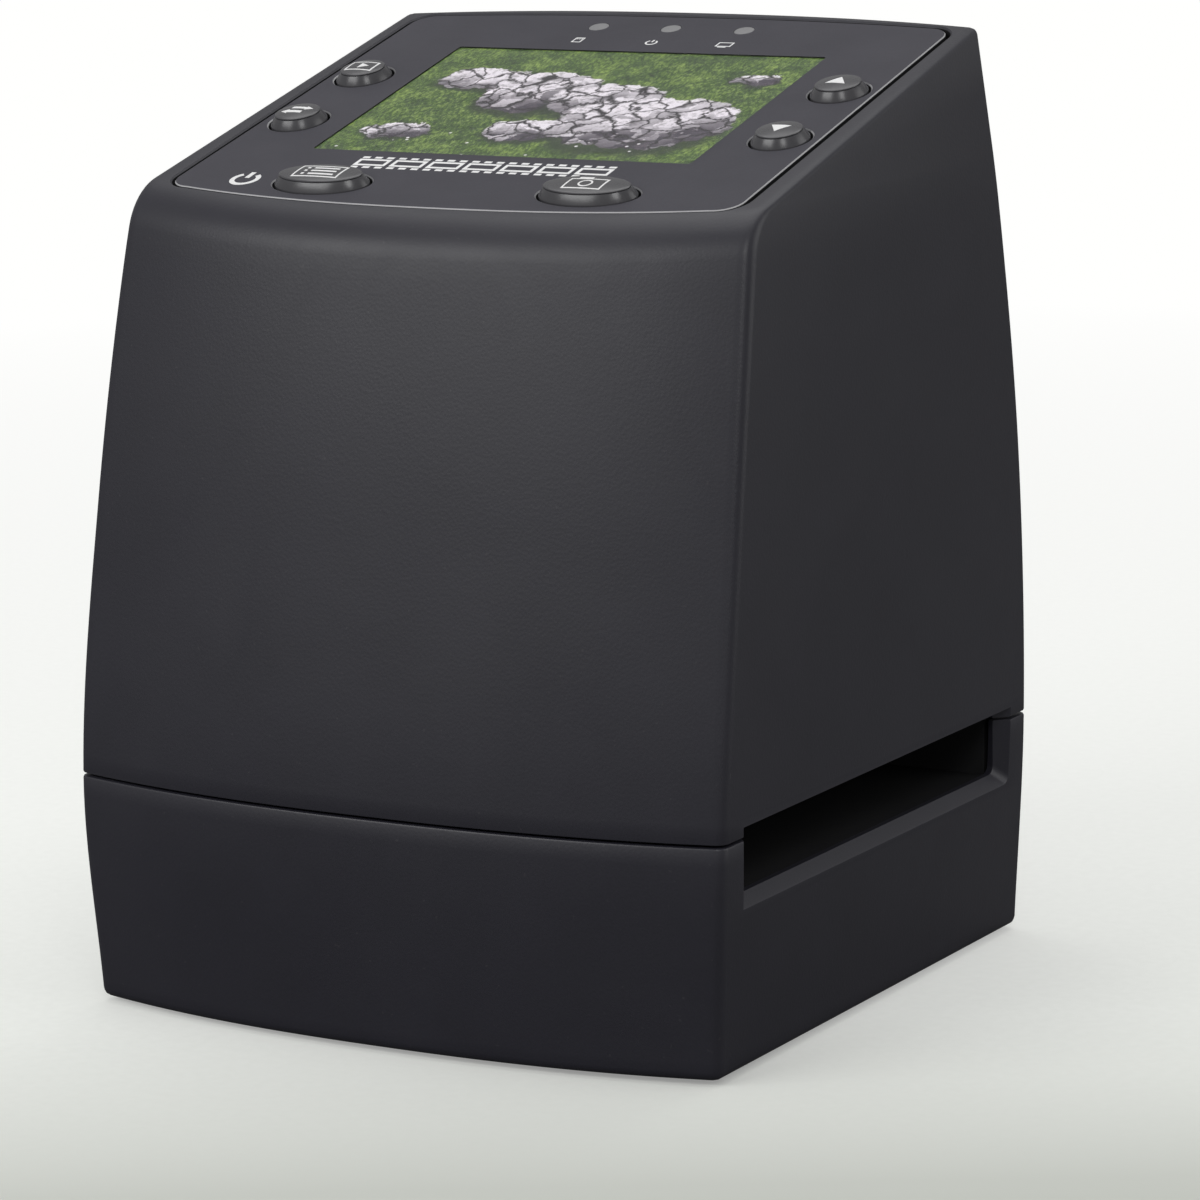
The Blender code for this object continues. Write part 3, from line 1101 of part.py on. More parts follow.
# Backlight
light_board = prism(rectangle(LIGHT_BOARD_WIDTH, LIGHT_BOARD_LENGTH, 0, (0, TUNNEL_Y)),
                    LIGHT_BOARD_LOW, LIGHT_BOARD_LOW + LIGHT_BOARD_THICK)
backlight_board = piece("backlight_board", light_board, BOARD)
lamps = []
for column in (-1, 0, 1):
    for row in (-1, 1):
        middle = (column * FILM_WINDOW_WIDTH / 4, TUNNEL_Y + row * FILM_WINDOW_LENGTH / 4)
        lamps.append(prism(rectangle(LIGHT_LED_WIDTH, LIGHT_LED_LENGTH, 0, middle),
                           LIGHT_BOARD_LOW + LIGHT_BOARD_THICK / 2,
                           LIGHT_BOARD_LOW + LIGHT_BOARD_THICK + LIGHT_LED_HEIGHT))
add(backlight_board, tool("backlight_lamps", together(*lamps)))
reflector = piece("backlight_reflector", prism(rectangle(REFLECTOR_WIDTH, REFLECTOR_LENGTH, 0, (0, TUNNEL_Y)),
                                               REFLECTOR_LOW, REFLECTOR_LOW + REFLECTOR_HEIGHT), WHITE)
well = rectangle(REFLECTOR_WIDTH - 2 * REFLECTOR_WALL, REFLECTOR_LENGTH - 2 * REFLECTOR_WALL, 0, (0, TUNNEL_Y))
cut(reflector, tool("reflector_well", prism(well, REFLECTOR_LOW - OVERRUN, DIFFUSER_LOW + OVERRUN)))
piece("backlight_diffuser", prism(rectangle(REFLECTOR_WIDTH, REFLECTOR_LENGTH, 0, (0, TUNNEL_Y)),
                                  DIFFUSER_LOW, DIFFUSER_LOW + DIFFUSER_THICK), WHITE)

# Camera tunnel: flange, tapering body, lens seat and square collar
COLLAR_TOP = deck(TUNNEL_Y - COLLAR_SIDE / 2, BOARD_UNDER) - TUNNEL_ROOM
SEAT_TOP = COLLAR_TOP - COLLAR_HEIGHT
SEAT_LOW = SEAT_TOP - LENS_SEAT_THICK
TUNNEL_FOOT_WIDTH = FILM_WINDOW_WIDTH + 2 * TUNNEL_SIDE_MARGIN
TUNNEL_FOOT_LENGTH = FILM_WINDOW_LENGTH + 2 * TUNNEL_END_MARGIN
tunnel_flange = rectangle(2 * TRAY_HALF_LENGTH, TUNNEL_FOOT_LENGTH + 2 * TUNNEL_FLANGE_MARGIN,
                          TUNNEL_FLANGE_CORNER, (0, TUNNEL_Y))
camera_tunnel = piece("camera_tunnel", prism(tunnel_flange, TUNNEL_LOW, FLANGE_HIGH), INNER)


def tunnel_ring(width, length, height):
    return rectangle(width, length, 0, (0, TUNNEL_Y)), height


tunnel_body = stack([tunnel_ring(TUNNEL_FOOT_WIDTH, TUNNEL_FOOT_LENGTH, FLANGE_HIGH - TUNNEL_FLANGE_THICK / 2),
                     tunnel_ring(TUNNEL_FOOT_WIDTH, TUNNEL_FOOT_LENGTH, FLANGE_HIGH),
                     tunnel_ring(TUNNEL_TOP_SIDE, TUNNEL_TOP_SIDE, SEAT_LOW),
                     tunnel_ring(COLLAR_SIDE, COLLAR_SIDE, SEAT_LOW),
                     tunnel_ring(COLLAR_SIDE, COLLAR_SIDE, COLLAR_TOP)])
add(camera_tunnel, tool("tunnel_body", tunnel_body))
inner_foot_width = TUNNEL_FOOT_WIDTH - 2 * TUNNEL_WALL
inner_foot_length = TUNNEL_FOOT_LENGTH - 2 * TUNNEL_WALL
inner_top = TUNNEL_TOP_SIDE - 2 * TUNNEL_WALL
tunnel_hollow = stack([tunnel_ring(inner_foot_width, inner_foot_length, TUNNEL_LOW - OVERRUN),
                       tunnel_ring(inner_foot_width, inner_foot_length, FLANGE_HIGH),
                       tunnel_ring(inner_top, inner_top, SEAT_LOW)])
collar_hollow = stack([tunnel_ring(COLLAR_SIDE - 2 * COLLAR_WALL, COLLAR_SIDE - 2 * COLLAR_WALL, SEAT_TOP),
                       tunnel_ring(COLLAR_SIDE - 2 * COLLAR_WALL, COLLAR_SIDE - 2 * COLLAR_WALL,
                                   COLLAR_TOP + OVERRUN)])
cut(camera_tunnel, tool("tunnel_hollow", together(tunnel_hollow, collar_hollow)))
lens_bore = moved(disc(BARREL_RADIUS + CLEARANCE, SEAT_LOW - OVERRUN, SEAT_TOP + OVERRUN),
                  0, TUNNEL_Y)
flange_bores = [moved(disc(SCREW_HOLE, TUNNEL_LOW - OVERRUN, FLANGE_HIGH + OVERRUN, SMALL_STEPS),
                      side * TUNNEL_SCREW_SIDE, TUNNEL_Y) for side in (-1, 1)]
cut(camera_tunnel, tool("tunnel_bores", together(lens_bore, *flange_bores)))
for side, name in ((-1, "left"), (1, "right")):
    made = piece("tunnel_screw_" + name,
                 screw(SCREW_RADIUS, SMALL_SCREW_HEAD, SMALL_SCREW_HEAD_THICK, TUNNEL_SCREW_LENGTH), METAL,
                 None, (side * TUNNEL_SCREW_SIDE, TUNNEL_Y, TUNNEL_LOW - CLEARANCE))
    cross_slot(made.name, made, SMALL_SCREW_HEAD, SMALL_SCREW_HEAD_THICK)

# Lens
BARREL_SEAT = SEAT_TOP + CLEARANCE
barrel_profile = [(0, SEAT_TOP - BARREL_HANG), (BARREL_RADIUS, SEAT_TOP - BARREL_HANG),
                  (BARREL_RADIUS, BARREL_SEAT), (BARREL_FLANGE_RADIUS, BARREL_SEAT),
                  (BARREL_FLANGE_RADIUS, BARREL_SEAT + BARREL_FLANGE_THICK),
                  (BARREL_NECK_RADIUS, BARREL_SEAT + BARREL_FLANGE_THICK),
                  (BARREL_NECK_RADIUS, BARREL_SEAT + BARREL_NECK_HEIGHT), (0, BARREL_SEAT + BARREL_NECK_HEIGHT)]
lens_barrel = piece("lens_barrel", turned(barrel_profile, ROUND_STEPS), INNER, None, (0, TUNNEL_Y, 0))
bore_profile = [(0, SEAT_TOP - BARREL_HANG - OVERRUN), (BARREL_BORE, SEAT_TOP - BARREL_HANG - OVERRUN),
                (BARREL_BORE, BARREL_SEAT), (BARREL_STOP_BORE, BARREL_SEAT),
                (BARREL_STOP_BORE, BARREL_SEAT + BARREL_NECK_HEIGHT + OVERRUN),
                (0, BARREL_SEAT + BARREL_NECK_HEIGHT + OVERRUN)]
cut(lens_barrel, tool("barrel_bore", turned(bore_profile, ROUND_STEPS), lens_barrel))
lens_middle = BARREL_SEAT - CLEARANCE - LENS_CROWN - LENS_EDGE / 2
crown = [(LENS_RADIUS * share, LENS_CROWN * (1 - share * share)) for share in LENS_CROWN_SHARES]
lens_profile = [(0, -LENS_EDGE / 2 - LENS_CROWN)]
lens_profile += [(radius, -LENS_EDGE / 2 - rise) for radius, rise in reversed(crown)]
lens_profile += [(radius, LENS_EDGE / 2 + rise) for radius, rise in crown]
lens_profile.append((0, LENS_EDGE / 2 + LENS_CROWN))
piece("lens_element", turned(lens_profile, ROUND_STEPS), GLASS, None, (0, TUNNEL_Y, lens_middle))

# Sensor on the underside of its board, which closes the collar
SENSOR_BOARD_LOW = COLLAR_TOP + CLEARANCE
piece("sensor_board", prism(rectangle(SENSOR_BOARD_SIDE, SENSOR_BOARD_SIDE, SENSOR_BOARD_CORNER, (0, TUNNEL_Y)),
                            SENSOR_BOARD_LOW, SENSOR_BOARD_LOW + SENSOR_BOARD_THICK), BOARD)
piece("image_sensor", prism(rectangle(SENSOR_SIDE, SENSOR_SIDE, 0, (0, TUNNEL_Y)),
                            COLLAR_TOP - SENSOR_THICK, COLLAR_TOP), INNER)

# Main board
main_board = piece("main_board", block((MAIN_BOARD_OUTER, MAIN_BOARD_FRONT, MAIN_BOARD_LOW),
                                       (MAIN_BOARD_X, MAIN_BOARD_BACK, MAIN_BOARD_HIGH)), BOARD)
stake_holes = [moved(placed(disc(STAKE_RADIUS + CLEARANCE, MAIN_BOARD_OUTER - OVERRUN, MAIN_BOARD_X + OVERRUN,
                                 SMALL_STEPS), ALONG_X), 0, y, z) for y, z in STAKES]
cut(main_board, tool("stake_holes", together(*stake_holes)))

sd_socket = piece("sd_card_socket", block((SD_X - SD_THICK / 2, SD_BACK - SD_DEPTH, SD_LOW),
                                          (SD_X + SD_THICK / 2, SD_BACK, SD_LOW + SD_WIDTH)), METAL)
cut(sd_socket, tool("sd_mouth", block(
    (SD_X - SD_MOUTH_THICK / 2, SD_BACK - SD_DEPTH + SD_THICK, SD_MIDDLE - SD_MOUTH_WIDTH / 2),
    (SD_X + SD_MOUTH_THICK / 2, SD_BACK + OVERRUN, SD_MIDDLE + SD_MOUTH_WIDTH / 2))))
usb_socket = piece("usb_socket", block((USB_X - USB_THICK / 2, USB_BACK - USB_DEPTH, USB_LOW),
                                       (USB_X + USB_THICK / 2, USB_BACK, USB_LOW + USB_WIDTH)), METAL)
usb_mouth = block((USB_X - USB_THICK / 2 + USB_SHELL, USB_BACK - USB_DEPTH + USB_SHELL, USB_LOW + USB_SHELL),
                  (USB_X + USB_THICK / 2 - USB_SHELL, USB_BACK + OVERRUN, USB_LOW + USB_WIDTH - USB_SHELL))
cut(usb_socket, tool("usb_mouth", usb_mouth))
usb_tongue = block((USB_X - USB_TONGUE / 2, USB_BACK - USB_DEPTH + USB_SHELL / 2, USB_LOW + USB_THICK / 2),
                   (USB_X + USB_TONGUE / 2, USB_BACK - USB_TONGUE, USB_LOW + USB_WIDTH - USB_THICK / 2))
add(usb_socket, tool("usb_tongue", usb_tongue))
jack = piece("video_out_jack", block((JACK_X - JACK_SIDE / 2, JACK_BACK - JACK_DEPTH, JACK_LOW),
                                     (JACK_X + JACK_SIDE / 2, JACK_BACK, JACK_LOW + JACK_SIDE)), INNER)
jack_collar = placed(disc(JACK_COLLAR_RADIUS, JACK_BACK - JACK_COLLAR_LENGTH, JACK_BACK + JACK_COLLAR_LENGTH),
                     ALONG_Y)
add(jack, tool("jack_collar", moved(jack_collar, JACK_X, 0, JACK_MIDDLE)))
jack_bore = placed(disc(JACK_BORE, JACK_BACK - JACK_DEPTH + JACK_BORE, JACK_BACK + OVERRUN, SMALL_STEPS), ALONG_Y)
cut(jack, tool("jack_bore", moved(jack_bore, JACK_X, 0, JACK_MIDDLE)))


# Flat cables to the main board
def ribbon_section(corners, bend):
    """Closed outline of a thin strip along a line of corners, with round bends."""
    path = [Vector(corners[0])]
    for before, corner, after in zip(corners, corners[1:], corners[2:]):
        corner = Vector(corner)
        arrive = (Vector(before) - corner).normalized() * bend
        leave = (Vector(after) - corner).normalized() * bend
        for step in range(2 * CORNER_STEPS + 1):
            part = step / (2 * CORNER_STEPS)
            path.append(corner + arrive * (1 - part) ** 2 + leave * part ** 2)
    path.append(Vector(corners[-1]))
    left, right = [], []
    for index, point in enumerate(path):
        ahead = path[min(index + 1, len(path) - 1)] - path[max(index - 1, 0)]
        side = Vector((-ahead.y, ahead.x)).normalized() * RIBBON_THICK / 2
        left.append(tuple(point + side))
        right.append(tuple(point - side))
    return left + right[::-1]


# Turns a section in X and Z into a strip along Y
SECTION_TO_Y = Matrix(((1, 0, 0, 0), (0, 0, -1, 0), (0, 1, 0, 0), (0, 0, 0, 1)))
ribbon_face = MAIN_BOARD_X + CLEARANCE + RIBBON_THICK / 2
display_path = [(MAIN_BOARD_X + DISPLAY_RIBBON_RUN, -(BOARD_UNDER + CLEARANCE + RIBBON_THICK)),
                (ribbon_face, -(BOARD_UNDER + CLEARANCE + RIBBON_THICK)),
                (ribbon_face, -DISPLAY_RIBBON_END)]
display_strip = placed(prism(ribbon_section(display_path, RIBBON_BEND), -RIBBON_WIDTH / 2, RIBBON_WIDTH / 2),
                       SECTION_TO_Y)
piece("display_ribbon", display_strip, RIBBON, panel_frame, (0, -(SCREEN_MIDDLE + DISPLAY_RIBBON_DOWN), 0))
sensor_top = SENSOR_BOARD_LOW + SENSOR_BOARD_THICK + CLEARANCE + RIBBON_THICK / 2
sensor_path = [(SENSOR_RIBBON_INSET - SENSOR_BOARD_SIDE / 2, sensor_top), (ribbon_face, sensor_top),
               (ribbon_face, sensor_top - SENSOR_RIBBON_DROP)]
sensor_strip = placed(prism(ribbon_section(sensor_path, RIBBON_BEND), -RIBBON_WIDTH / 2, RIBBON_WIDTH / 2),
                      SECTION_TO_Y)
piece("sensor_ribbon", sensor_strip, RIBBON, None, (0, TUNNEL_Y, 0))
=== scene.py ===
# %% [markdown]
# # Dressing a film negative scanner
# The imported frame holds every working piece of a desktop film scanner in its
# place. This lesson lays the looks over it: the casing, the panel and the keys are
# modelled again with finer curves, the small printed signs are added, and every
# surface gets a material of its own.

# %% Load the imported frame
from math import cos, pi, radians, sin, tan

import bmesh
import bpy
from mathutils import Matrix, Vector


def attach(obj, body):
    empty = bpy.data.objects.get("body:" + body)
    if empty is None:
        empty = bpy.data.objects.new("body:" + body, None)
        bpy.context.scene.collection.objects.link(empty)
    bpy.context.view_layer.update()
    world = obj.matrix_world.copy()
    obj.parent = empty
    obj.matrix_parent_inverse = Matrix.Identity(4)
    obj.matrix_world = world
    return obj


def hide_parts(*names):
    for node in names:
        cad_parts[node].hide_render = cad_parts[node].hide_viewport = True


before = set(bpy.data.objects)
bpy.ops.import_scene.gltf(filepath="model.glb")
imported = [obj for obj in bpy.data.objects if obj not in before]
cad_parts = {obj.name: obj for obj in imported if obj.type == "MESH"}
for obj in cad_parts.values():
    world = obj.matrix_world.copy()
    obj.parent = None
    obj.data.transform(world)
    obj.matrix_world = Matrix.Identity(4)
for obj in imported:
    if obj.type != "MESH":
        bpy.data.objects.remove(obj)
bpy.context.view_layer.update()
print("pieces in the frame:", len(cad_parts))

# %% [markdown]
# ## Sizes
# All sizes are in metres, read off the real object: a body 86 by 86 mm and 112 mm
# tall, whose top slopes down to the front. The shares say how wide and how deep the
# body is at five heights, because its walls swell at the seam and draw in above it.

# %% Sizes of the body
BODY_HEIGHT = 0.1120
HALF_WIDTH = 0.0430
HALF_DEPTH = 0.0430
SEAM_HEIGHT = 0.0276
SEAM_GAP = 0.0003
FOOT_PROUD = 0.0006
WALL = 0.0022
ROW_HEIGHTS = (0.0006, 0.0276, 0.0600, 0.0900, 0.1120)
WIDTH_SHARES = (0.968, 1.0, 0.992, 0.965, 0.923)
FRONT_SHARES = (0.984, 1.0, 0.891, 0.749, 0.616)
BACK_SHARES = (1.0, 1.0, 0.986, 0.921, 0.863)
FRONT_BOW = 0.0050
BACK_BOW = 0.0028
BOW_POWER = 2.4
PANEL_SLOPE = radians(15.2)
SHOULDER_RADIUS = 0.0070
EDGE_RADIUS = 0.0011
TINY = 0.00002

# %% [markdown]
# ## Curves of the walls
# A smooth curve through one value at each height gives the half width and the half
# depth anywhere on the body. Front and back also bow: their middles stand out and
# their sides draw back by a power of the distance from the middle.

# %% Curves of the walls
def through(values, height):
    """Smooth curve through one value at each row height, read at a height."""
    last = len(ROW_HEIGHTS) - 1
    here = max(index for index in range(last) if index == 0 or ROW_HEIGHTS[index] <= height)
    low, high = ROW_HEIGHTS[here], ROW_HEIGHTS[here + 1]
    span = high - low

    def slope(index):
        before, after = max(index - 1, 0), min(index + 1, last)
        return (values[after] - values[before]) / (ROW_HEIGHTS[after] - ROW_HEIGHTS[before])

    part = (height - low) / span
    if part > 1 or part < 0:
        edge = here + 1 if part > 1 else here
        return values[edge] + slope(edge) * (height - ROW_HEIGHTS[edge])
    start = (1 + 2 * part) * (1 - part) ** 2 * values[here]
    start += part * (1 - part) ** 2 * span * slope(here)
    end = part * part * (3 - 2 * part) * values[here + 1]
    end += part * part * (part - 1) * span * slope(here + 1)
    return start + end


def half_width(height):
    return HALF_WIDTH * through(WIDTH_SHARES, height)


def front_wall(height, side_share=0.0):
    return -HALF_DEPTH * through(FRONT_SHARES, height) + FRONT_BOW * abs(side_share) ** BOW_POWER


def back_wall(height, side_share=0.0):
    return HALF_DEPTH * through(BACK_SHARES, height) - BACK_BOW * abs(side_share) ** BOW_POWER


RIM_RISE = EDGE_RADIUS * (tan(PANEL_SLOPE / 2 + pi / 4) * sin(PANEL_SLOPE) + cos(PANEL_SLOPE) - 1)
TOP_BACK = back_wall(BODY_HEIGHT)
TOP_HEIGHT = BODY_HEIGHT + RIM_RISE


def deck(depth_place, drop=0.0):
    """Height of the slanted top at a place, lowered square to itself by a drop."""
    return TOP_HEIGHT - (TOP_BACK - depth_place) * tan(PANEL_SLOPE) - drop / cos(PANEL_SLOPE)


def meet(wall, side_share, inset, drop):
    """Point where a wall meets the slanted top."""
    depth_place = wall(BODY_HEIGHT, side_share) + inset
    for _ in range(12):
        depth_place = wall(deck(depth_place, drop), side_share) + inset
    return Vector((depth_place, deck(depth_place, drop)))


print("top of the slope:", round(TOP_BACK, 5), round(TOP_HEIGHT, 5))

# %% [markdown]
# ## Tools for modelling
# An operator acts on whatever is selected, so each piece is first made the only
# selected one, and its faces or edges are then picked by a test of their place.

# %% Tools for modelling
def alone(piece):
    """Makes a piece the only selected and the active one."""
    bpy.ops.object.select_all(action="DESELECT")
    piece.select_set(True)
    bpy.context.view_layer.objects.active = piece


def named(name):
    """Names the piece that an operator has just added, with its place in its mesh."""
    piece = bpy.context.object
    piece.name = name
    bpy.ops.object.transform_apply(location=True, rotation=True, scale=True)
    return piece


def pick(piece, kind, wanted):
    """Selects the vertices, edges or faces of a piece that pass a test, in edit mode."""
    alone(piece)
    bpy.ops.object.mode_set(mode="EDIT")
    bpy.ops.mesh.select_mode(type=kind)
    bpy.ops.mesh.select_all(action="DESELECT")
    form = bmesh.from_edit_mesh(piece.data)
    for part in {"VERT": form.verts, "EDGE": form.edges, "FACE": form.faces}[kind]:
        if wanted(part):
            part.select_set(True)
    form.select_flush_mode()
    bmesh.update_edit_mesh(piece.data)


def leave():
    bpy.ops.object.mode_set(mode="OBJECT")


def combine(piece, other, operation):
    """Joins a second shape to a piece, or takes it out of the piece, and drops the shape."""
    alone(piece)
    modifier = piece.modifiers.new("combine", "BOOLEAN")
    modifier.operation = operation
    modifier.object = other
    modifier.solver = "EXACT"
    bpy.ops.object.modifier_apply(modifier=modifier.name)
    bpy.data.objects.remove(other)


def cut(piece, cutter):
    combine(piece, cutter, "DIFFERENCE")


def block(name, middle, size):
    """Adds a box at a place."""
    bpy.ops.object.select_all(action="DESELECT")
    bpy.ops.mesh.primitive_cube_add(size=1, location=middle, scale=size)
    return named(name)


def round_corners(piece, axis, radius, segments):
    """Rounds the four edges of a box that run along an axis."""
    pick(piece, "EDGE", lambda edge: abs((edge.verts[0].co - edge.verts[1].co)[axis]) > TINY)
    bpy.ops.mesh.bevel(offset=radius, segments=segments, affect="EDGES")
    leave()


def smooth(piece, degrees=32):
    """Rounds the shading of a piece except over its sharper edges."""
    alone(piece)
    bpy.ops.object.shade_smooth_by_angle(angle=radians(degrees))


def outward(piece):
    """Merges doubles and turns every face outwards."""
    alone(piece)
    bpy.ops.object.mode_set(mode="EDIT")
    bpy.ops.mesh.select_all(action="SELECT")
    bpy.ops.mesh.remove_doubles(threshold=0.000001)
    bpy.ops.mesh.normals_make_consistent(inside=False)
    leave()


def solid(name, points, faces):
    """Makes a piece from worked-out points and faces, where no operator gives its form."""
    mesh = bpy.data.meshes.new(name)
    mesh.from_pydata([tuple(point) for point in points], [], faces)
    piece = bpy.data.objects.new(name, mesh)
    bpy.context.scene.collection.objects.link(piece)
    outward(piece)
    return piece


PANEL_PLACE = Matrix.Translation((0, TOP_BACK, TOP_HEIGHT)) @ Matrix.Rotation(PANEL_SLOPE, 4, "X")


def to_panel(piece):
    """Moves a piece that was modelled flat onto the slanted top."""
    piece.data.transform(PANEL_PLACE)
    piece.data.update()


# %% [markdown]
# ## Casing blocks
# The real casing is moulded in two halves that meet at the seam. Its walls bow and
# taper at once, which no single operator gives, so each block is laid out in columns:
# a chain of points runs up the front, over the shoulder to the top, and another up
# the back, and faces join the columns.

# %% Casing blocks
def section(side_share, inset, drop, low, high, rows, steps):
    """Front and back chains of points at a share of the half width, bottom to top."""
    front = []
    if high:
        for row in range(rows + 1):
            height = low + (high - low) * row / rows
            front.append(Vector((front_wall(height, side_share) + inset, height)))
        back = [Vector((back_wall(point.y, side_share) - inset, point.y)) for point in front]
        return front, back
    edge = meet(front_wall, side_share, inset, drop)
    below = Vector((front_wall(edge.y - SHOULDER_RADIUS, side_share) + inset, edge.y - SHOULDER_RADIUS))
    up = (edge - below).normalized()
    along = Vector((cos(PANEL_SLOPE), sin(PANEL_SLOPE)))
    turn = up.angle(along)
    radius = SHOULDER_RADIUS - inset
    reach = radius * tan(turn / 2)
    centre = edge - up * reach + Vector((up.y, -up.x)) * radius
    outward_ray = Vector((-up.y, up.x))
    start_height = (edge - up * reach).y
    for row in range(rows):
        height = low + (start_height - low) * row / rows
        front.append(Vector((front_wall(height, side_share) + inset, height)))
    for step in range(steps + 1):
        angle = -turn * step / steps
        ray = Vector((outward_ray.x * cos(angle) - outward_ray.y * sin(angle),
                      outward_ray.x * sin(angle) + outward_ray.y * cos(angle)))
        front.append(centre + ray * radius)
    back_top = meet(back_wall, side_share, -inset, drop)
    front.append((front[-1] + back_top) / 2)
    back = [Vector((back_wall(point.y, side_share) - inset, point.y)) for point in front]
    front.append(back_top)
    return front, back


def casing_block(name, inset, drop, low, high, columns, rows, steps=5):
    """Closed casing form from a low height up to a high one, or to the slanted top."""
    points, loops = [], []
    for column in range(columns + 1):
        side_share = 2 * column / columns - 1
        front, back = section(side_share, inset, drop, low, high, rows, steps)
        loop = []
        for point in front + back[::-1]:
            loop.append(len(points))
            points.append((side_share * (half_width(point.y) - inset), point.x, point.y))
        loops.append(loop)
    count = len(loops[0])
    faces = []
    for left, right in zip(loops, loops[1:]):
        for here in range(count):
            after = (here + 1) % count
            faces.append((left[here], left[after], right[after], right[here]))
    for loop in (loops[0], loops[-1]):
        for step in range(count // 2 - 1 if high else (count - 1) // 2 - 1):
            faces.append((loop[step], loop[step + 1], loop[count - 2 - step], loop[count - 1 - step]))
        if not high:
            top = (count - 1) // 2
            faces.append((loop[top - 1], loop[top], loop[top + 1]))
    return solid(name, points, faces)


UPPER_LOW = SEAM_HEIGHT + SEAM_GAP / 2
BASE_HIGH = SEAM_HEIGHT - SEAM_GAP / 2
upper_shell = casing_block("upper_shell", 0, 0, UPPER_LOW, None, 48, 28, 10)
base_shell = casing_block("base_shell", 0, 0, FOOT_PROUD, BASE_HIGH, 48, 12)
print("casing blocks:", len(upper_shell.data.vertices), len(base_shell.data.vertices), "points")

# %% [markdown]
# ## Rounded corners of the casing
# The mould leaves every outside corner softly rounded. The upright corners and the
# rim round the top share one radius, and the edges at the seam get a smaller one.

# %% Rounded corners of the casing
def corner_edge(edge, least=40):
    return len(edge.link_faces) == 2 and edge.calc_face_angle() > radians(least)


def at_height(edge, height):
    return all(abs(point.co.z - height) < TINY for point in edge.verts)


def bevel_picked(width, segments):
    bpy.ops.mesh.bevel(offset=width, segments=segments, affect="EDGES", clamp_overlap=True)
    leave()


SEAM_EDGE = 0.00025
for shell, seam in ((upper_shell, UPPER_LOW), (base_shell, BASE_HIGH)):
    pick(shell, "EDGE", lambda edge: corner_edge(edge) and not at_height(edge, seam))
    bevel_picked(EDGE_RADIUS, 4)
    pick(shell, "EDGE", lambda edge: corner_edge(edge) and at_height(edge, seam))
    bevel_picked(SEAM_EDGE, 2)
    print(shell.name, "rounded:", len(shell.data.polygons), "faces")

# %% [markdown]
# ## Hollows, holder slot and sockets' openings
# The halves are thin shells, so a smaller block is taken out of each. The film
# holder slides in through a slot in both sides, with a wide chamfer round it that
# guides the holder in, and three openings in the back face the sockets. The slot's
# lower corner at the back is rounded.

# %% Hollows, holder slot and sockets' openings
LEDGE_UNDER = 0.0041
FLOOR = 0.0022
cut(upper_shell, casing_block("hollow", WALL, LEDGE_UNDER, SEAM_HEIGHT - 0.002, None, 16, 10))
cut(base_shell, casing_block("hollow", WALL, 0, FOOT_PROUD + FLOOR, SEAM_HEIGHT + 0.002, 16, 8))

SLOT_FRONT, SLOT_BACK = -0.0319, 0.0339
SLOT_HIGH = SEAM_HEIGHT + 0.00135
SLOT_LOW = SLOT_HIGH - 0.00805
SLOT_CHAMFER = 0.00165
SLOT_CORNER = 0.0010


def slot_cutter(side):
    """Cutter for the slot: a box whose outer end flares into the chamfer."""
    surface = half_width(SEAM_HEIGHT)
    rings = []
    for depth, spread in ((-0.002, SLOT_CHAMFER + 0.002), (SLOT_CHAMFER, 0), (WALL + 0.002, 0)):
        x = side * (surface - depth)
        front, back, low = SLOT_FRONT - spread, SLOT_BACK + spread, SLOT_LOW - spread
        rings.append([(x, front, low), (x, back, low), (x, back, SLOT_HIGH), (x, front, SLOT_HIGH)])
    points = [point for ring in rings for point in ring]
    faces = [(0, 1, 2, 3), (8, 9, 10, 11)]
    for level in (0, 4):
        for here in range(4):
            after = (here + 1) % 4
            faces.append((level + here, level + after, level + after + 4, level + here + 4))
    cutter = solid("slot_cutter", points, faces)
    pick(cutter, "EDGE", lambda edge: all(
        point.co.y > SLOT_BACK - 0.0001 and point.co.z < SLOT_LOW + 0.0001 for point in edge.verts) and abs(
        edge.verts[0].co.x - edge.verts[1].co.x) > 0.001)
    bevel_picked(SLOT_CORNER, 6)
    return cutter


for shell in (upper_shell, base_shell):
    for side in (-1, 1):
        cut(shell, slot_cutter(side))
print("slot:", SLOT_BACK - SLOT_FRONT, "m long")

# %% [markdown]
# ## Posts, feet and openings
# Four posts in the base hold the screws. Each has a well that opens at the bottom,
# and beside it lies the round recess of a rubber foot. The sockets of the main board
# look out through three openings in the back.

# %% Posts, feet and openings
def column(radius, low, high, place=(0, 0), sides=64):
    """Upright round bar from a low height to a high one."""
    bpy.ops.object.select_all(action="DESELECT")
    bpy.ops.mesh.primitive_cylinder_add(vertices=sides, radius=radius, depth=high - low,
                                        location=(place[0], place[1], (low + high) / 2))
    return named("column")


SCREW_PLACES = [(x, y) for x in (-0.0300, 0.0300) for y in (-0.0362, 0.0377)]
FOOT_PLACES = [(x, y) for x in (-0.0300, 0.0300) for y in (-0.0270, 0.0270)]
SCREW_SEAT = 0.0148
POST_RADIUS = 0.0035
WELL_RADIUS = 0.0026
SHANK_HOLE = 0.00135
FOOT_HOLE = 0.0048
BELOW = 0.001
for place in SCREW_PLACES:
    combine(base_shell, column(POST_RADIUS, FOOT_PROUD + 0.001, SCREW_SEAT + 0.0015, place), "UNION")
    cut(base_shell, column(WELL_RADIUS, -BELOW, SCREW_SEAT, place))
    cut(base_shell, column(SHANK_HOLE, SCREW_SEAT - 0.001, SCREW_SEAT + 0.003, place, 32))
for place in FOOT_PLACES:
    cut(base_shell, column(FOOT_HOLE, -BELOW, FOOT_PROUD + 0.0009, place))


def opening(name, x, height, across, upright, corner):
    """Upright block with rounded corners, for an opening in the back wall."""
    piece = block(name, (x, HALF_DEPTH - 0.004, height), (across, 0.016, upright))
    round_corners(piece, 1, corner, 6)
    return piece


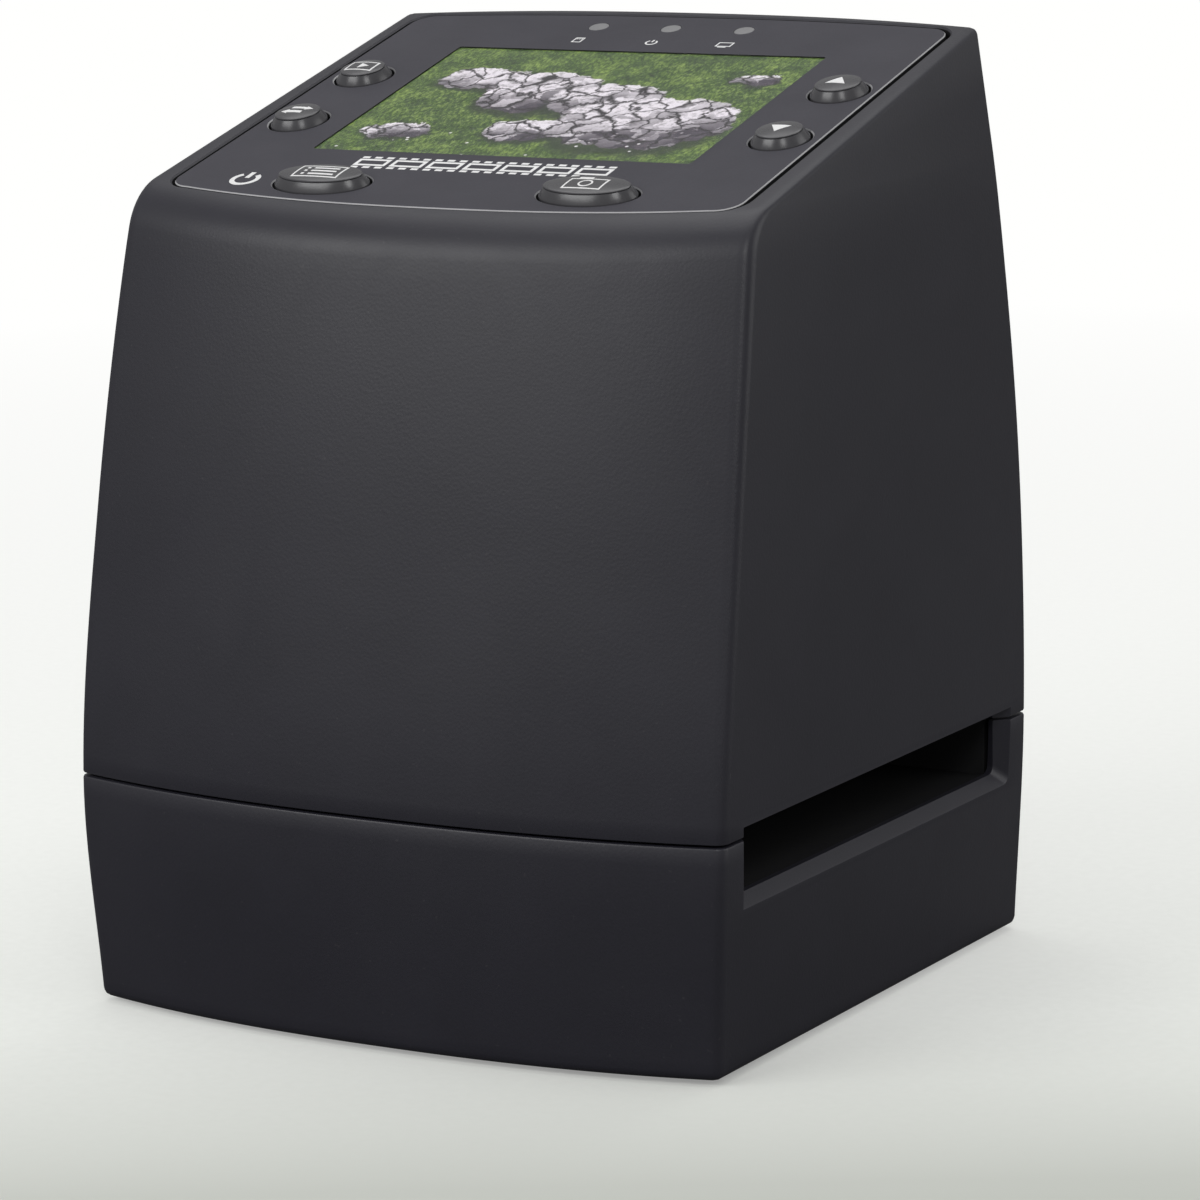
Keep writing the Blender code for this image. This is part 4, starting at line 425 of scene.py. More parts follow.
SD_X, SD_HEIGHT = -0.0348, 0.0565
USB_X, USB_HEIGHT = -0.02915, 0.04885
JACK_X, JACK_HEIGHT = -0.0281, 0.0600
for place in (("card_opening", SD_X, SD_HEIGHT, 0.0028, 0.0256, 0.0005),
              ("lead_opening", USB_X, USB_HEIGHT, 0.0045, 0.0089, 0.0007),
              ("jack_opening", JACK_X, JACK_HEIGHT, 0.0064, 0.0064, 0.00319)):
    cut(upper_shell, opening(*place))
print("posts:", len(SCREW_PLACES), "feet:", len(FOOT_PLACES))

# %% [markdown]
# ## Panel plate
# The control panel is a moulded plate, set in a recess of the casing with a narrow
# groove round it. Its front and back edges bow like the casing's walls. A small
# flare on each cutter leaves a thin chamfer round each opening, which is later
# coloured pale as a painted highlight.

# %% Panel plate
PLATE_BACK = 0.0026
PLATE_FRONT = 0.0664
PLATE_BACK_HALF = half_width(BODY_HEIGHT) - 0.0027
PLATE_FRONT_HALF = PLATE_BACK_HALF + 0.0006
PLATE_CORNER = 0.0030
PLATE_THICK = 0.0020
GROOVE = 0.00060
FRONT_GROOVE = 0.00022
RIM_LINE = 0.00020
PLATE_CHAMFER = 0.00012


def plate_outline(margin, front_margin=None, columns=48, steps=8):
    """Outline of the plate, grown by a margin: bowed front and back, round corners."""
    front_margin = margin if front_margin is None else front_margin
    radius = PLATE_CORNER + margin
    front_reach = PLATE_FRONT_HALF + margin - radius
    back_reach = PLATE_BACK_HALF + margin - radius

    def front_edge(x):
        return -PLATE_FRONT - front_margin + FRONT_BOW * abs(x / HALF_WIDTH) ** BOW_POWER

    def back_edge(x):
        return -PLATE_BACK + margin - BACK_BOW * abs(x / HALF_WIDTH) ** BOW_POWER

    right = []
    for step in range(steps + 1):
        angle = pi / 2 * step / steps
        right.append((front_reach + radius * sin(angle),
                      front_edge(front_reach) + radius * (1 - cos(angle))))
    for step in range(steps + 1):
        angle = pi / 2 * step / steps
        right.append((back_reach + radius * cos(angle),
                      back_edge(back_reach) - radius * (1 - sin(angle))))
    half = range(1, columns)
    front = [(x, front_edge(x)) for x in ((2 * step / columns - 1) * front_reach for step in half)]
    back = [(x, back_edge(x)) for x in ((1 - 2 * step / columns) * back_reach for step in half)]
    return front + right + back + [(-x, y) for x, y in reversed(right)]


def stacked(name, rings):
    """Closed form through outlines of as many points, each at its own height."""
    points = [(x, y, height) for outline, height in rings for x, y in outline]
    count = len(rings[0][0])
    faces = [tuple(range(count)), tuple(range(len(points) - count, len(points)))]
    for level in range(len(rings) - 1):
        for here in range(count):
            after = (here + 1) % count
            low = level * count
            faces.append((low + here, low + after, low + after + count, low + here + count))
    return solid(name, points, faces)


RECESS_DEPTH = PLATE_THICK + 0.0003
recess = stacked("recess", [
    (plate_outline(GROOVE, FRONT_GROOVE), -RECESS_DEPTH),
    (plate_outline(GROOVE, FRONT_GROOVE), -RIM_LINE),
    (plate_outline(GROOVE + RIM_LINE + 0.0005, FRONT_GROOVE + RIM_LINE + 0.0005), 0.0005)])
to_panel(recess)
cut(upper_shell, recess)
SHELF = 0.0022
shelf_opening = stacked("shelf_opening", [(plate_outline(-SHELF), -0.006), (plate_outline(-SHELF), -0.001)])
to_panel(shelf_opening)
cut(upper_shell, shelf_opening)

control_plate = stacked("control_plate", [
    (plate_outline(0), -PLATE_THICK), (plate_outline(0), -PLATE_CHAMFER),
    (plate_outline(-PLATE_CHAMFER), 0)])

KEY_GAP = 0.0003
ROUND_KEY = (0.00345, 0.00345)
OVAL_KEY = (0.0062, 0.00345)
KEYS = {
    "play": (-0.03249, 0.0262, ROUND_KEY),
    "flip": (-0.03249, 0.0415, ROUND_KEY),
    "up": (0.03249, 0.0262, ROUND_KEY),
    "down": (0.03249, 0.0415, ROUND_KEY),
    "menu": (-0.01769, 0.0604, OVAL_KEY),
    "capture": (0.01769, 0.0604, OVAL_KEY),
}
LAMP_ROW = 0.0067
LAMPS = {"sd": -0.0101, "power": 0.0, "pc": 0.0101}
LAMP_RADIUS = 0.00125
WINDOW_DOWN, WINDOW_WIDTH, WINDOW_LENGTH, WINDOW_CORNER = 0.0325, 0.0506, 0.0352, 0.0004


def raised(name, half_sizes, rings, sides=96):
    """Round or oval form, drawn up ring by ring; each ring is (growth, height)."""
    bpy.ops.object.select_all(action="DESELECT")
    bpy.ops.mesh.primitive_circle_add(vertices=sides, radius=1, fill_type="NGON",
                                      location=(0, 0, rings[0][1]))
    first = [half + rings[0][0] for half in half_sizes]
    bpy.context.object.scale = (first[0], first[1], 1)
    piece = named(name)
    pick(piece, "FACE", lambda face: True)
    sizes, height = first, rings[0][1]
    for growth, level in rings[1:]:
        wanted = [half + growth for half in half_sizes]
        bpy.ops.mesh.extrude_region_move(TRANSFORM_OT_translate={"value": (0, 0, level - height)})
        bpy.ops.transform.resize(value=(wanted[0] / sizes[0], wanted[1] / sizes[1], 1),
                                 center_override=(0, 0, 0))
        sizes, height = wanted, level
    leave()
    return piece


def shifted(piece, x, down):
    """Moves a flat-modelled piece across and down the panel."""
    piece.data.transform(Matrix.Translation((x, -down, 0)))
    return piece


HOLE_RINGS = [(0, -0.004), (0, -0.00014), (0.0006, 0.00046)]
for key, (x, down, half_sizes) in KEYS.items():
    hole = raised("hole", [half + KEY_GAP for half in half_sizes], HOLE_RINGS)
    outward(hole)
    cut(control_plate, shifted(hole, x, down))
for x in LAMPS.values():
    hole = raised("hole", (LAMP_RADIUS + 0.00005, LAMP_RADIUS + 0.00005), [(0, -0.004), (0, 0.001)], 48)
    outward(hole)
    cut(control_plate, shifted(hole, x, LAMP_ROW))
window_hole = block("window_hole", (0, -WINDOW_DOWN, 0), (WINDOW_WIDTH, WINDOW_LENGTH, 0.008))
round_corners(window_hole, 2, WINDOW_CORNER, 4)
cut(control_plate, window_hole)
to_panel(control_plate)
print("plate:", len(control_plate.data.polygons), "faces")

# %% [markdown]
# ## Keys
# Each key is a domed cap with a tapered flank and a skirt that holds it under the
# plate. A disc is drawn up ring by ring: skirt, shaft, flank, the fine groove that
# shows as a dark line under the top, rounded edge and dome.

# %% Keys
KEY_PROUD = 0.00122
KEY_DOME = 0.00022
KEY_RINGS = [(0.0008, -0.0031), (0.0008, -0.0023), (0, -0.0023), (0, -0.0001), (-0.00003, 0.00004),
             (-0.00068, 0.00098), (-0.00082, 0.00100), (-0.00082, 0.00106), (-0.00070, 0.00108),
             (-0.00072, 0.00114), (-0.00079, 0.00119), (-0.00090, KEY_PROUD)]
DOME_SHARES = (0.92, 0.8, 0.62, 0.42, 0.2)


def dome_height(x, y, half_sizes):
    """Height of a key's domed top over its middle's place."""
    edge = [half + KEY_RINGS[-1][0] for half in half_sizes]
    share = min(1, (x / edge[0]) ** 2 + (y / edge[1]) ** 2)
    return KEY_PROUD + KEY_DOME * (1 - share)


def key_cap(name, half_sizes):
    cap = raised(name, half_sizes, KEY_RINGS)
    top = [half + KEY_RINGS[-1][0] for half in half_sizes]
    pick(cap, "FACE", lambda face: face.calc_center_median().z > KEY_PROUD - 0.000001)
    before, height = 1.0, KEY_PROUD
    for share in DOME_SHARES:
        level = KEY_PROUD + KEY_DOME * (1 - share ** 2)
        bpy.ops.mesh.extrude_region_move(TRANSFORM_OT_translate={"value": (0, 0, level - height)})
        bpy.ops.transform.resize(value=(share / before, share / before, 1), center_override=(0, 0, 0))
        before, height = share, level
    bpy.ops.mesh.poke()
    leave()
    outward(cap)
    return cap


keys = {}
for key, (x, down, half_sizes) in KEYS.items():
    cap = shifted(key_cap(key + "_cap", half_sizes), x, down)
    to_panel(cap)
    keys[key] = cap
print("keys:", len(keys))

# %% [markdown]
# ## Lamp windows and screen
# Three small frosted windows carry the light of the lamps to the plate. The screen
# lies close under a clear pane.

# %% Lamp windows and screen
lamp_windows = {}
for lamp_name, x in LAMPS.items():
    window = raised(lamp_name + "_lamp_window", (LAMP_RADIUS, LAMP_RADIUS),
                    [(0.0003, -0.0028), (0.0003, -0.0023), (0, -0.0023), (0, -0.00002), (-0.00006, 0.00002),
                     (-0.0004, 0.00006), (-0.0008, 0.00008)], 48)
    outward(window)
    to_panel(shifted(window, x, LAMP_ROW))
    lamp_windows[lamp_name] = window


def flat_block(name, down, width, length, low, high, corner):
    """Thin block with rounded corners on the slanted top."""
    piece = block(name, (0, -down, (low + high) / 2), (width, length, high - low))
    round_corners(piece, 2, corner, 4)
    to_panel(piece)
    return piece


screen_face = flat_block("screen_face", WINDOW_DOWN, WINDOW_WIDTH - 0.00004, WINDOW_LENGTH - 0.00004,
                         -0.0047, -0.00022, WINDOW_CORNER)
screen_pane = flat_block("screen_pane", WINDOW_DOWN, WINDOW_WIDTH - 0.00006, WINDOW_LENGTH - 0.00006,
                         -0.00018, -0.00003, WINDOW_CORNER)
print("screen:", WINDOW_WIDTH, "by", WINDOW_LENGTH)

# %% [markdown]
# ## Printed signs
# The keys and the plate carry small white signs. They are general drawings that say
# what a key does: play a picture, turn it, step up or down, list the settings, take
# the scan. Each is put together from flat bars, frames, rings and triangles, and
# given the thickness of a coat of ink.

# %% Printed signs
INK = 0.00003


def flat(kind, x, y, width, height, turn=0.0, sides=48):
    """Flat shape in the panel's plane: a bar, a disc or a triangle."""
    bpy.ops.object.select_all(action="DESELECT")
    if kind == "bar":
        bpy.ops.mesh.primitive_plane_add(size=1)
    else:
        corners = 3 if kind == "triangle" else sides
        bpy.ops.mesh.primitive_circle_add(vertices=corners, radius=0.5, fill_type="NGON")
    piece = bpy.context.object
    piece.data.transform(Matrix.Diagonal((width, height, 1, 1)))
    piece.data.transform(Matrix.Translation((x, y, 0)) @ Matrix.Rotation(turn, 4, "Z"))
    return piece


def hollowed(piece, line, opened=None):
    """Leaves only a line of even width along a flat shape's edge."""
    pick(piece, "FACE", lambda face: True)
    bpy.ops.mesh.inset(thickness=line, depth=0)
    bpy.ops.mesh.delete(type="FACE")
    leave()
    if opened:
        pick(piece, "FACE", lambda face: opened(face.calc_center_median()))
        bpy.ops.mesh.delete(type="FACE")
        leave()
    return piece


def line_frame(x, y, width, height, line, turn=0.0):
    return hollowed(flat("bar", x, y, width, height, turn), line)


def line_ring(x, y, size, line, opened=None):
    return hollowed(flat("disc", x, y, size, size), line, opened)


def sign(name, shapes, x, down, height_at, domed=False):
    """Joins flat shapes to one sign, gives it the ink's thickness and lays it on a surface."""
    bpy.ops.object.select_all(action="DESELECT")
    for shape in shapes:
        shape.select_set(True)
    bpy.context.view_layer.objects.active = shapes[0]
    bpy.ops.object.join()
    piece = bpy.context.object
    piece.name = name
    pick(piece, "FACE", lambda face: True)
    if domed:
        bpy.ops.mesh.subdivide(number_cuts=8)
    bpy.ops.mesh.extrude_region_move(TRANSFORM_OT_translate={"value": (0, 0, INK)})
    leave()
    for point in piece.data.vertices:
        point.co.z += height_at(point.co.x, point.co.y)
    outward(piece)
    shifted(piece, x, down)
    to_panel(piece)
    return piece


LINE = 0.00022
MENU_ROWS = (-0.00085, 0, 0.00085)
key_signs = {
    "play": [line_frame(0, 0, 0.0038, 0.0027, LINE),
             flat("triangle", 0.0001, 0, 0.0017, 0.0017, -pi / 2)],
    "flip": [flat("bar", 0.0001, 0.00062, 0.0021, 0.0006),
             flat("triangle", 0.00125, 0.00062, 0.0013, 0.0013, -pi / 2),
             flat("bar", -0.0001, -0.00062, 0.0021, 0.0006),
             flat("triangle", -0.00125, -0.00062, 0.0013, 0.0013, pi / 2)],
    "up": [flat("triangle", 0, -0.0001, 0.0029, 0.0026)],
    "down": [flat("triangle", 0, 0.0001, 0.0029, 0.0026, pi)],
    "menu": [line_frame(0, 0, 0.0062, 0.0033, LINE)] + [
        flat("bar", 0.00055, y, 0.0034, 0.00034) for y in MENU_ROWS] + [
        flat("bar", -0.0019, y, 0.00038, 0.00038) for y in MENU_ROWS],
    "capture": [line_frame(0, -0.0002, 0.0050, 0.0029, LINE), flat("bar", -0.0007, 0.00150, 0.0018, 0.0005),
                line_ring(0, -0.0002, 0.0018, LINE)],
}
signs = {}
for key, shapes in key_signs.items():
    x, down, half_sizes = KEYS[key]
    signs[key] = sign(key + "_sign", shapes, x, down,
                      lambda across, along, sizes=half_sizes: dome_height(across, along, sizes), True)


def power_shapes(size, line):
    gap = size * 0.24
    ring = line_ring(0, 0, size, line, lambda middle: middle.y > 0 and abs(middle.x) < gap)
    return [ring, flat("bar", 0, size * 0.32, line, size * 0.46)]


def film_shapes(width, height, frames):
    """Strip of film: a row of frames between two rows of small holes."""
    pitch = width / frames
    holes = frames * 3
    shapes = [line_frame((place + 0.5) * pitch - width / 2, 0, pitch * 0.88, height * 0.56, 0.00044)
              for place in range(frames)]
    shapes += [flat("bar", (place + 0.5) * width / holes - width / 2, side * height * 0.42, 0.00095, 0.00050)
               for place in range(holes) for side in (-1, 1)]
    return shapes


plate_signs = {
    "power_sign": (power_shapes(0.0038, 0.00062), -0.0283, 0.0604),
    "film_sign": (film_shapes(0.0346, 0.0036, 7), 0.0, 0.0537),
    "card_lamp_sign": ([line_frame(0, 0, 0.0013, 0.0016, 0.00018)] + [
        flat("bar", x, 0.0004, 0.00013, 0.0004) for x in (-0.0003, 0, 0.0003)], -0.0104, 0.0115),
    "power_lamp_sign": (power_shapes(0.0016, 0.00022), -0.0001, 0.0117),
    "screen_lamp_sign": ([line_frame(0, 0.0002, 0.0021, 0.0014, 0.00018),
                          flat("bar", 0, -0.0007, 0.0011, 0.00020)], 0.0100, 0.0119),
}
for name, (shapes, x, down) in plate_signs.items():
    signs[name] = sign(name, shapes, x, down, lambda across, along: -INK * 0.3)
print("signs:", len(signs))

# %% [markdown]
# ## Effects that several materials share
# Each effect is a node group: a fine moulded grain with soft mottling, a wear mask
# along the edges, and a few settled specks. A group gives out colours, masks and
# heights only, and every material keeps its own shader.

# %% Effects that several materials share
def put(tree, kind, settings=None, **sockets):
    """Adds a node, sets it, and links or sets its sockets."""
    node = tree.nodes.new("ShaderNode" + kind)
    for key, value in (settings or {}).items():
        setattr(node, key, value)
    for key, value in sockets.items():
        socket = node.inputs[key.replace("_", " ")]
        if isinstance(value, bpy.types.NodeSocket):
            tree.links.new(value, socket)
        else:
            socket.default_value = value
    return node


def reckon(tree, kind, operation, *values):
    """Adds a maths node, with its inputs in order; returns its outputs."""
    node = tree.nodes.new("ShaderNode" + kind)
    node.operation = operation
    for socket, value in zip(node.inputs, values):
        if isinstance(value, bpy.types.NodeSocket):
            tree.links.new(value, socket)
        else:
            socket.default_value = value
    return node.outputs


def maths(tree, operation, *values):
    return reckon(tree, "Math", operation, *values)[0]


def blend(tree, share, first, second, kind="MIX"):
    """Mixes two colours by a share."""
    node = tree.nodes.new("ShaderNodeMix")
    node.data_type = "RGBA"
    node.blend_type = kind
    for socket, value in ((node.inputs[0], share), (node.inputs[6], first), (node.inputs[7], second)):
        if isinstance(value, bpy.types.NodeSocket):
            tree.links.new(value, socket)
        elif isinstance(value, tuple):
            socket.default_value = (*value, 1)
        else:
            socket.default_value = value
    return node.outputs[2]


def spread(tree, value, low, high, to_low=0.0, to_high=1.0):
    """Stretches a value from one range to another and stops at its ends."""
    return put(tree, "MapRange", None, Value=value, From_Min=low, From_Max=high, To_Min=to_low,
               To_Max=to_high).outputs[0]


def new_group(name, inputs, outputs):
    """Empty node group with its sockets; returns its tree, inputs and outputs."""
    tree = bpy.data.node_groups.new(name, "ShaderNodeTree")
    for label, kind, value in inputs:
        socket = tree.interface.new_socket(label, in_out="INPUT", socket_type="NodeSocket" + kind)
        socket.default_value = value
    for label, kind in outputs:
        tree.interface.new_socket(label, in_out="OUTPUT", socket_type="NodeSocket" + kind)
    return tree, tree.nodes.new("NodeGroupInput").outputs, tree.nodes.new("NodeGroupOutput").inputs


def place_of(tree):
    return tree.nodes.new("ShaderNodeTexCoord").outputs["Object"]


tree, given, result = new_group("moulded plastic", [
    ("Colour", "Color", (0.05, 0.05, 0.05, 1)), ("Roughness", "Float", 0.5), ("Wear", "Float", 0.5)],
    [("Colour", "Color"), ("Roughness", "Float"), ("Height", "Float")])
where = place_of(tree)
grain = put(tree, "TexNoise", None, Vector=where, Scale=5200, Detail=2, Roughness=0.6).outputs[0]
cells = put(tree, "TexVoronoi", {"feature": "SMOOTH_F1"}, Vector=where, Scale=2600,
            Smoothness=0.6).outputs[0]
mottle = put(tree, "TexNoise", None, Vector=where, Scale=90, Detail=5, Roughness=0.55).outputs[0]
smear = put(tree, "TexNoise", None, Vector=where, Scale=38, Detail=6, Roughness=0.65,
            Distortion=0.6).outputs[0]
speck = put(tree, "TexNoise", None, Vector=where, Scale=1500, Detail=1).outputs[0]
rounded = put(tree, "Bevel", {"samples": 4}, Radius=0.0005).outputs[0]
straight = put(tree, "NewGeometry").outputs["Normal"]
agree = reckon(tree, "VectorMath", "DOT_PRODUCT", rounded, straight)["Value"]
edge = spread(tree, agree, 0.995, 0.90)
patchy = maths(tree, "MULTIPLY", spread(tree, smear, 0.35, 0.65), given["Wear"])
worn = maths(tree, "MULTIPLY", edge, patchy)
tone = spread(tree, mottle, 0.3, 0.7, 0.94, 1.06)
fine = spread(tree, grain, 0.3, 0.7, 0.93, 1.07)
shaded = blend(tree, 1.0, given["Colour"], maths(tree, "MULTIPLY", tone, fine), "MULTIPLY")
lighter = blend(tree, 1.0, shaded, (0.022, 0.022, 0.024), "ADD")
rubbed = blend(tree, worn, shaded, lighter)
dust = maths(tree, "MULTIPLY", spread(tree, speck, 0.74, 0.80), 0.05)
tree.links.new(blend(tree, dust, rubbed, (0.25, 0.24, 0.23)), result["Colour"])
uneven = maths(tree, "ADD", given["Roughness"], spread(tree, smear, 0.3, 0.7, -0.05, 0.05))
tree.links.new(maths(tree, "SUBTRACT", uneven, maths(tree, "MULTIPLY", worn, 0.12)), result["Roughness"])
tree.links.new(maths(tree, "ADD", maths(tree, "MULTIPLY", cells, 0.7), maths(tree, "MULTIPLY", grain, 0.3)),
               result["Height"])

tree, given, result = new_group("drawn metal", [
    ("Colour", "Color", (0.6, 0.6, 0.62, 1)), ("Roughness", "Float", 0.3)],
    [("Colour", "Color"), ("Roughness", "Float"), ("Height", "Float")])
where = place_of(tree)
long_way = put(tree, "Mapping", None, Vector=where, Scale=(9000, 600, 9000)).outputs[0]
lines = put(tree, "TexNoise", None, Vector=long_way, Scale=1, Detail=3).outputs[0]
stain = put(tree, "TexNoise", None, Vector=where, Scale=420, Detail=5).outputs[0]
dull = blend(tree, spread(tree, stain, 0.45, 0.75, 0, 0.6), given["Colour"], (0.30, 0.28, 0.25))
bright = blend(tree, spread(tree, lines, 0.3, 0.7, 0, 0.25), dull, (0.8, 0.8, 0.82))
tree.links.new(bright, result["Colour"])
stained = maths(tree, "ADD", given["Roughness"], spread(tree, stain, 0.3, 0.7, -0.05, 0.2))
tree.links.new(stained, result["Roughness"])
tree.links.new(lines, result["Height"])

tree, given, result = new_group("circuit board", [], [
    ("Colour", "Color"), ("Metal", "Float"), ("Roughness", "Float"), ("Height", "Float")])
where = place_of(tree)
tracks = put(tree, "TexBrick", {"offset": 0.5}, Vector=put(
    tree, "Mapping", None, Vector=where, Rotation=(0, 0, 0.785), Scale=(1, 1, 1)).outputs[0], Scale=420,
    Mortar_Size=0.12, Brick_Width=0.9, Row_Height=0.22).outputs["Fac"]
dots = put(tree, "TexVoronoi", {"feature": "F1"}, Vector=where, Scale=480,
           Randomness=0.6).outputs["Distance"]
pad = spread(tree, dots, 0.20, 0.16)
mask_tone = put(tree, "TexNoise", None, Vector=where, Scale=260, Detail=4).outputs[0]
mask_colour = blend(tree, tracks, (0.008, 0.050, 0.022), (0.016, 0.105, 0.045))
mask_colour = blend(tree, spread(tree, mask_tone, 0.3, 0.7, 0, 0.4), mask_colour, (0.010, 0.060, 0.035))
tree.links.new(blend(tree, pad, mask_colour, (0.62, 0.58, 0.45)), result["Colour"])
tree.links.new(pad, result["Metal"])
tree.links.new(spread(tree, mask_tone, 0.3, 0.7, 0.28, 0.42), result["Roughness"])
tree.links.new(maths(tree, "ADD", tracks, maths(tree, "MULTIPLY", pad, 0.6)), result["Height"])
print("effects:", [group.name for group in bpy.data.node_groups])

# %% [markdown]
# ## Materials
# Each finish is a Principled shader fed by the effects. The casing is a satin dark
# grey plastic, the plate a lighter one, and the keys are glossier and nearly black.

# %% Materials
def material(name, **sockets):
    """New material; returns it, its node tree and its shader."""
    made = bpy.data.materials.new(name)
    made.use_nodes = True
    shader = made.node_tree.nodes["Principled BSDF"]
    for key, value in sockets.items():
        shader.inputs[key.replace("_", " ")].default_value = value
    return made, made.node_tree, shader


def effect(tree, name, **sockets):
    node = tree.nodes.new("ShaderNodeGroup")
    node.node_tree = bpy.data.node_groups[name]
    for key, value in sockets.items():
        node.inputs[key].default_value = value
    return node.outputs


def feed(tree, shader, **outputs):
    """Links outputs to the shader's inputs of those names."""
    for key, value in outputs.items():
        tree.links.new(value, shader.inputs[key.replace("_", " ")])


def bump(tree, shader, height, strength, distance):
    node = put(tree, "Bump", None, Strength=strength, Distance=distance, Height=height)
    tree.links.new(node.outputs[0], shader.inputs["Normal"])


def plastic(name, colour, roughness, wear, relief, specular=0.5):
    made, tree, shader = material(name, Specular_IOR_Level=specular)
    out = effect(tree, "moulded plastic", Colour=(*colour, 1), Roughness=roughness, Wear=wear)
    feed(tree, shader, Base_Color=out["Colour"], Roughness=out["Roughness"])
    bump(tree, shader, out["Height"], relief, 0.00006)
    return made


looks = {
    "casing": plastic("casing plastic", (0.0195, 0.0190, 0.0270), 0.43, 0.7, 0.18, 0.5),
    "panel": plastic("panel plastic", (0.0560, 0.0545, 0.0655), 0.58, 0.5, 0.08, 0.15),
    "key": plastic("key plastic", (0.060, 0.059, 0.064), 0.25, 0.4, 0.03),
    "lamp_window": plastic("frosted window", (0.21, 0.21, 0.215), 0.55, 0.1, 0.05),
    # Painted shade: besides the inner parts, this near-black finish is laid on the walls of the casing's
    # recess and of the plate's holes, where there is only shade.
    "inner": plastic("black inner plastic and painted recess shade", (0.012, 0.012, 0.013), 0.60, 0.4, 0.25),
    "white": plastic("white plastic", (0.78, 0.78, 0.75), 0.45, 0.2, 0.10),
    "foot": plastic("rubber", (0.016, 0.016, 0.017), 0.80, 0.6, 0.5),
    # Painted highlight: these two pale finishes stand for the thin bright lines that light draws along the
    # chamfers of the plate and of its holes.
    "plate_edge_painted_highlight": plastic("plate edge with painted highlight", (0.42, 0.42, 0.43), 0.35, 0.0, 0.02),
    "hole_edge_painted_highlight": plastic("hole edge with painted highlight", (0.22, 0.22, 0.23), 0.35, 0.0, 0.02),
    "ink": plastic("white ink", (0.80, 0.80, 0.80), 0.55, 0.0, 0.05),
}
made, tree, shader = material("plated metal", Metallic=1.0)
out = effect(tree, "drawn metal", Colour=(0.60, 0.60, 0.62, 1), Roughness=0.28)
feed(tree, shader, Base_Color=out["Colour"], Roughness=out["Roughness"])
bump(tree, shader, out["Height"], 0.08, 0.00002)
looks["metal"] = made

made, tree, shader = material("circuit board mask")
out = effect(tree, "circuit board")
feed(tree, shader, Base_Color=out["Colour"], Metallic=out["Metal"], Roughness=out["Roughness"])
bump(tree, shader, out["Height"], 0.3, 0.00004)
looks["board"] = made

made, tree, shader = material("ribbon film", Roughness=0.35, Coat_Weight=0.3)
where = place_of(tree)
strips = put(tree, "TexWave", {"bands_direction": "X"}, Vector=where, Scale=320).outputs["Fac"]
feed(tree, shader, Base_Color=blend(
    tree, spread(tree, strips, 0.4, 0.6), (0.42, 0.16, 0.03), (0.60, 0.30, 0.08)))
bump(tree, shader, strips, 0.2, 0.00003)
looks["ribbon"] = made

made, tree, shader = material("clear pane", Transmission_Weight=1.0, IOR=1.05)
shader.inputs["Base Color"].default_value = (0.97, 0.98, 0.98, 1)
faint = put(tree, "TexNoise", None, Vector=place_of(tree), Scale=60, Detail=4).outputs[0]
feed(tree, shader, Roughness=spread(tree, faint, 0.3, 0.7, 0.03, 0.10))
looks["clear_pane"] = made

made, tree, shader = material("lens glass", Transmission_Weight=1.0, IOR=1.5, Coat_Weight=0.4)
shader.inputs["Base Color"].default_value = (0.80, 0.90, 0.95, 1)
tint = put(tree, "TexNoise", None, Vector=place_of(tree), Scale=200, Detail=2).outputs[0]
feed(tree, shader, Roughness=spread(tree, tint, 0.3, 0.7, 0.01, 0.05))
looks["lens"] = made
print("materials:", sorted(looks))

# %% [markdown]
# ## Picture on the screen
# The screen shows a test picture drawn by nodes: a sunny meadow with pale boulders
# and small white flowers. It is laid out in millimetres on the panel, and it glows
# by itself, as a lit screen does.

# %% Picture on the screen
made, tree, shader = material("screen picture", Roughness=0.4)
shader.inputs["Base Color"].default_value = (0.01, 0.01, 0.01, 1)
MILLIMETRE = 0.001
where = put(tree, "Mapping", {"vector_type": "TEXTURE"}, Vector=place_of(tree),
            Location=(0, TOP_BACK, TOP_HEIGHT), Rotation=(PANEL_SLOPE, 0, 0),
            Scale=(MILLIMETRE, MILLIMETRE, MILLIMETRE)).outputs[0]
spot = put(tree, "SeparateXYZ", None, Vector=where).outputs
blades = put(tree, "TexNoise", None, Vector=put(tree, "Mapping", None, Vector=where, Rotation=(0, 0, 0.12),
             Scale=(3.4, 1.3, 1)).outputs[0], Scale=1, Detail=4, Roughness=0.7, Distortion=0.4).outputs[0]
tufts = put(tree, "TexNoise", None, Vector=where, Scale=0.28, Detail=4, Roughness=0.6).outputs[0]
lit = maths(tree, "ADD", maths(tree, "MULTIPLY", spread(tree, blades, 0.34, 0.66), 0.64),
            maths(tree, "MULTIPLY", spread(tree, tufts, 0.34, 0.66), 0.36))
grass = put(tree, "ValToRGB", None, Fac=lit)
ramp = grass.color_ramp
ramp.elements[0].position, ramp.elements[0].color = 0.10, (0.004, 0.014, 0.001, 1)
ramp.elements[1].position, ramp.elements[1].color = 0.92, (0.260, 0.360, 0.070, 1)
middle = ramp.elements.new(0.5)
middle.color = (0.046, 0.100, 0.010, 1)
picture = grass.outputs[0]
shaken = put(tree, "TexNoise", None, Vector=where, Scale=0.30, Detail=6, Roughness=0.6)
WOBBLE = 5.0
wobble = reckon(tree, "VectorMath", "MULTIPLY_ADD", shaken.outputs["Color"], (WOBBLE, WOBBLE, 0), where)[0]
facets = put(tree, "TexVoronoi", {"feature": "F1"}, Vector=wobble, Scale=0.42, Randomness=1.0)
facet = put(tree, "SeparateColor", None, Color=facets.outputs["Color"]).outputs[0]
cracks = put(tree, "TexVoronoi", {"feature": "DISTANCE_TO_EDGE"}, Vector=wobble, Scale=0.30,
             Randomness=1.0).outputs["Distance"]
lichen = put(tree, "TexNoise", None, Vector=where, Scale=0.9, Detail=5, Roughness=0.75).outputs[0]
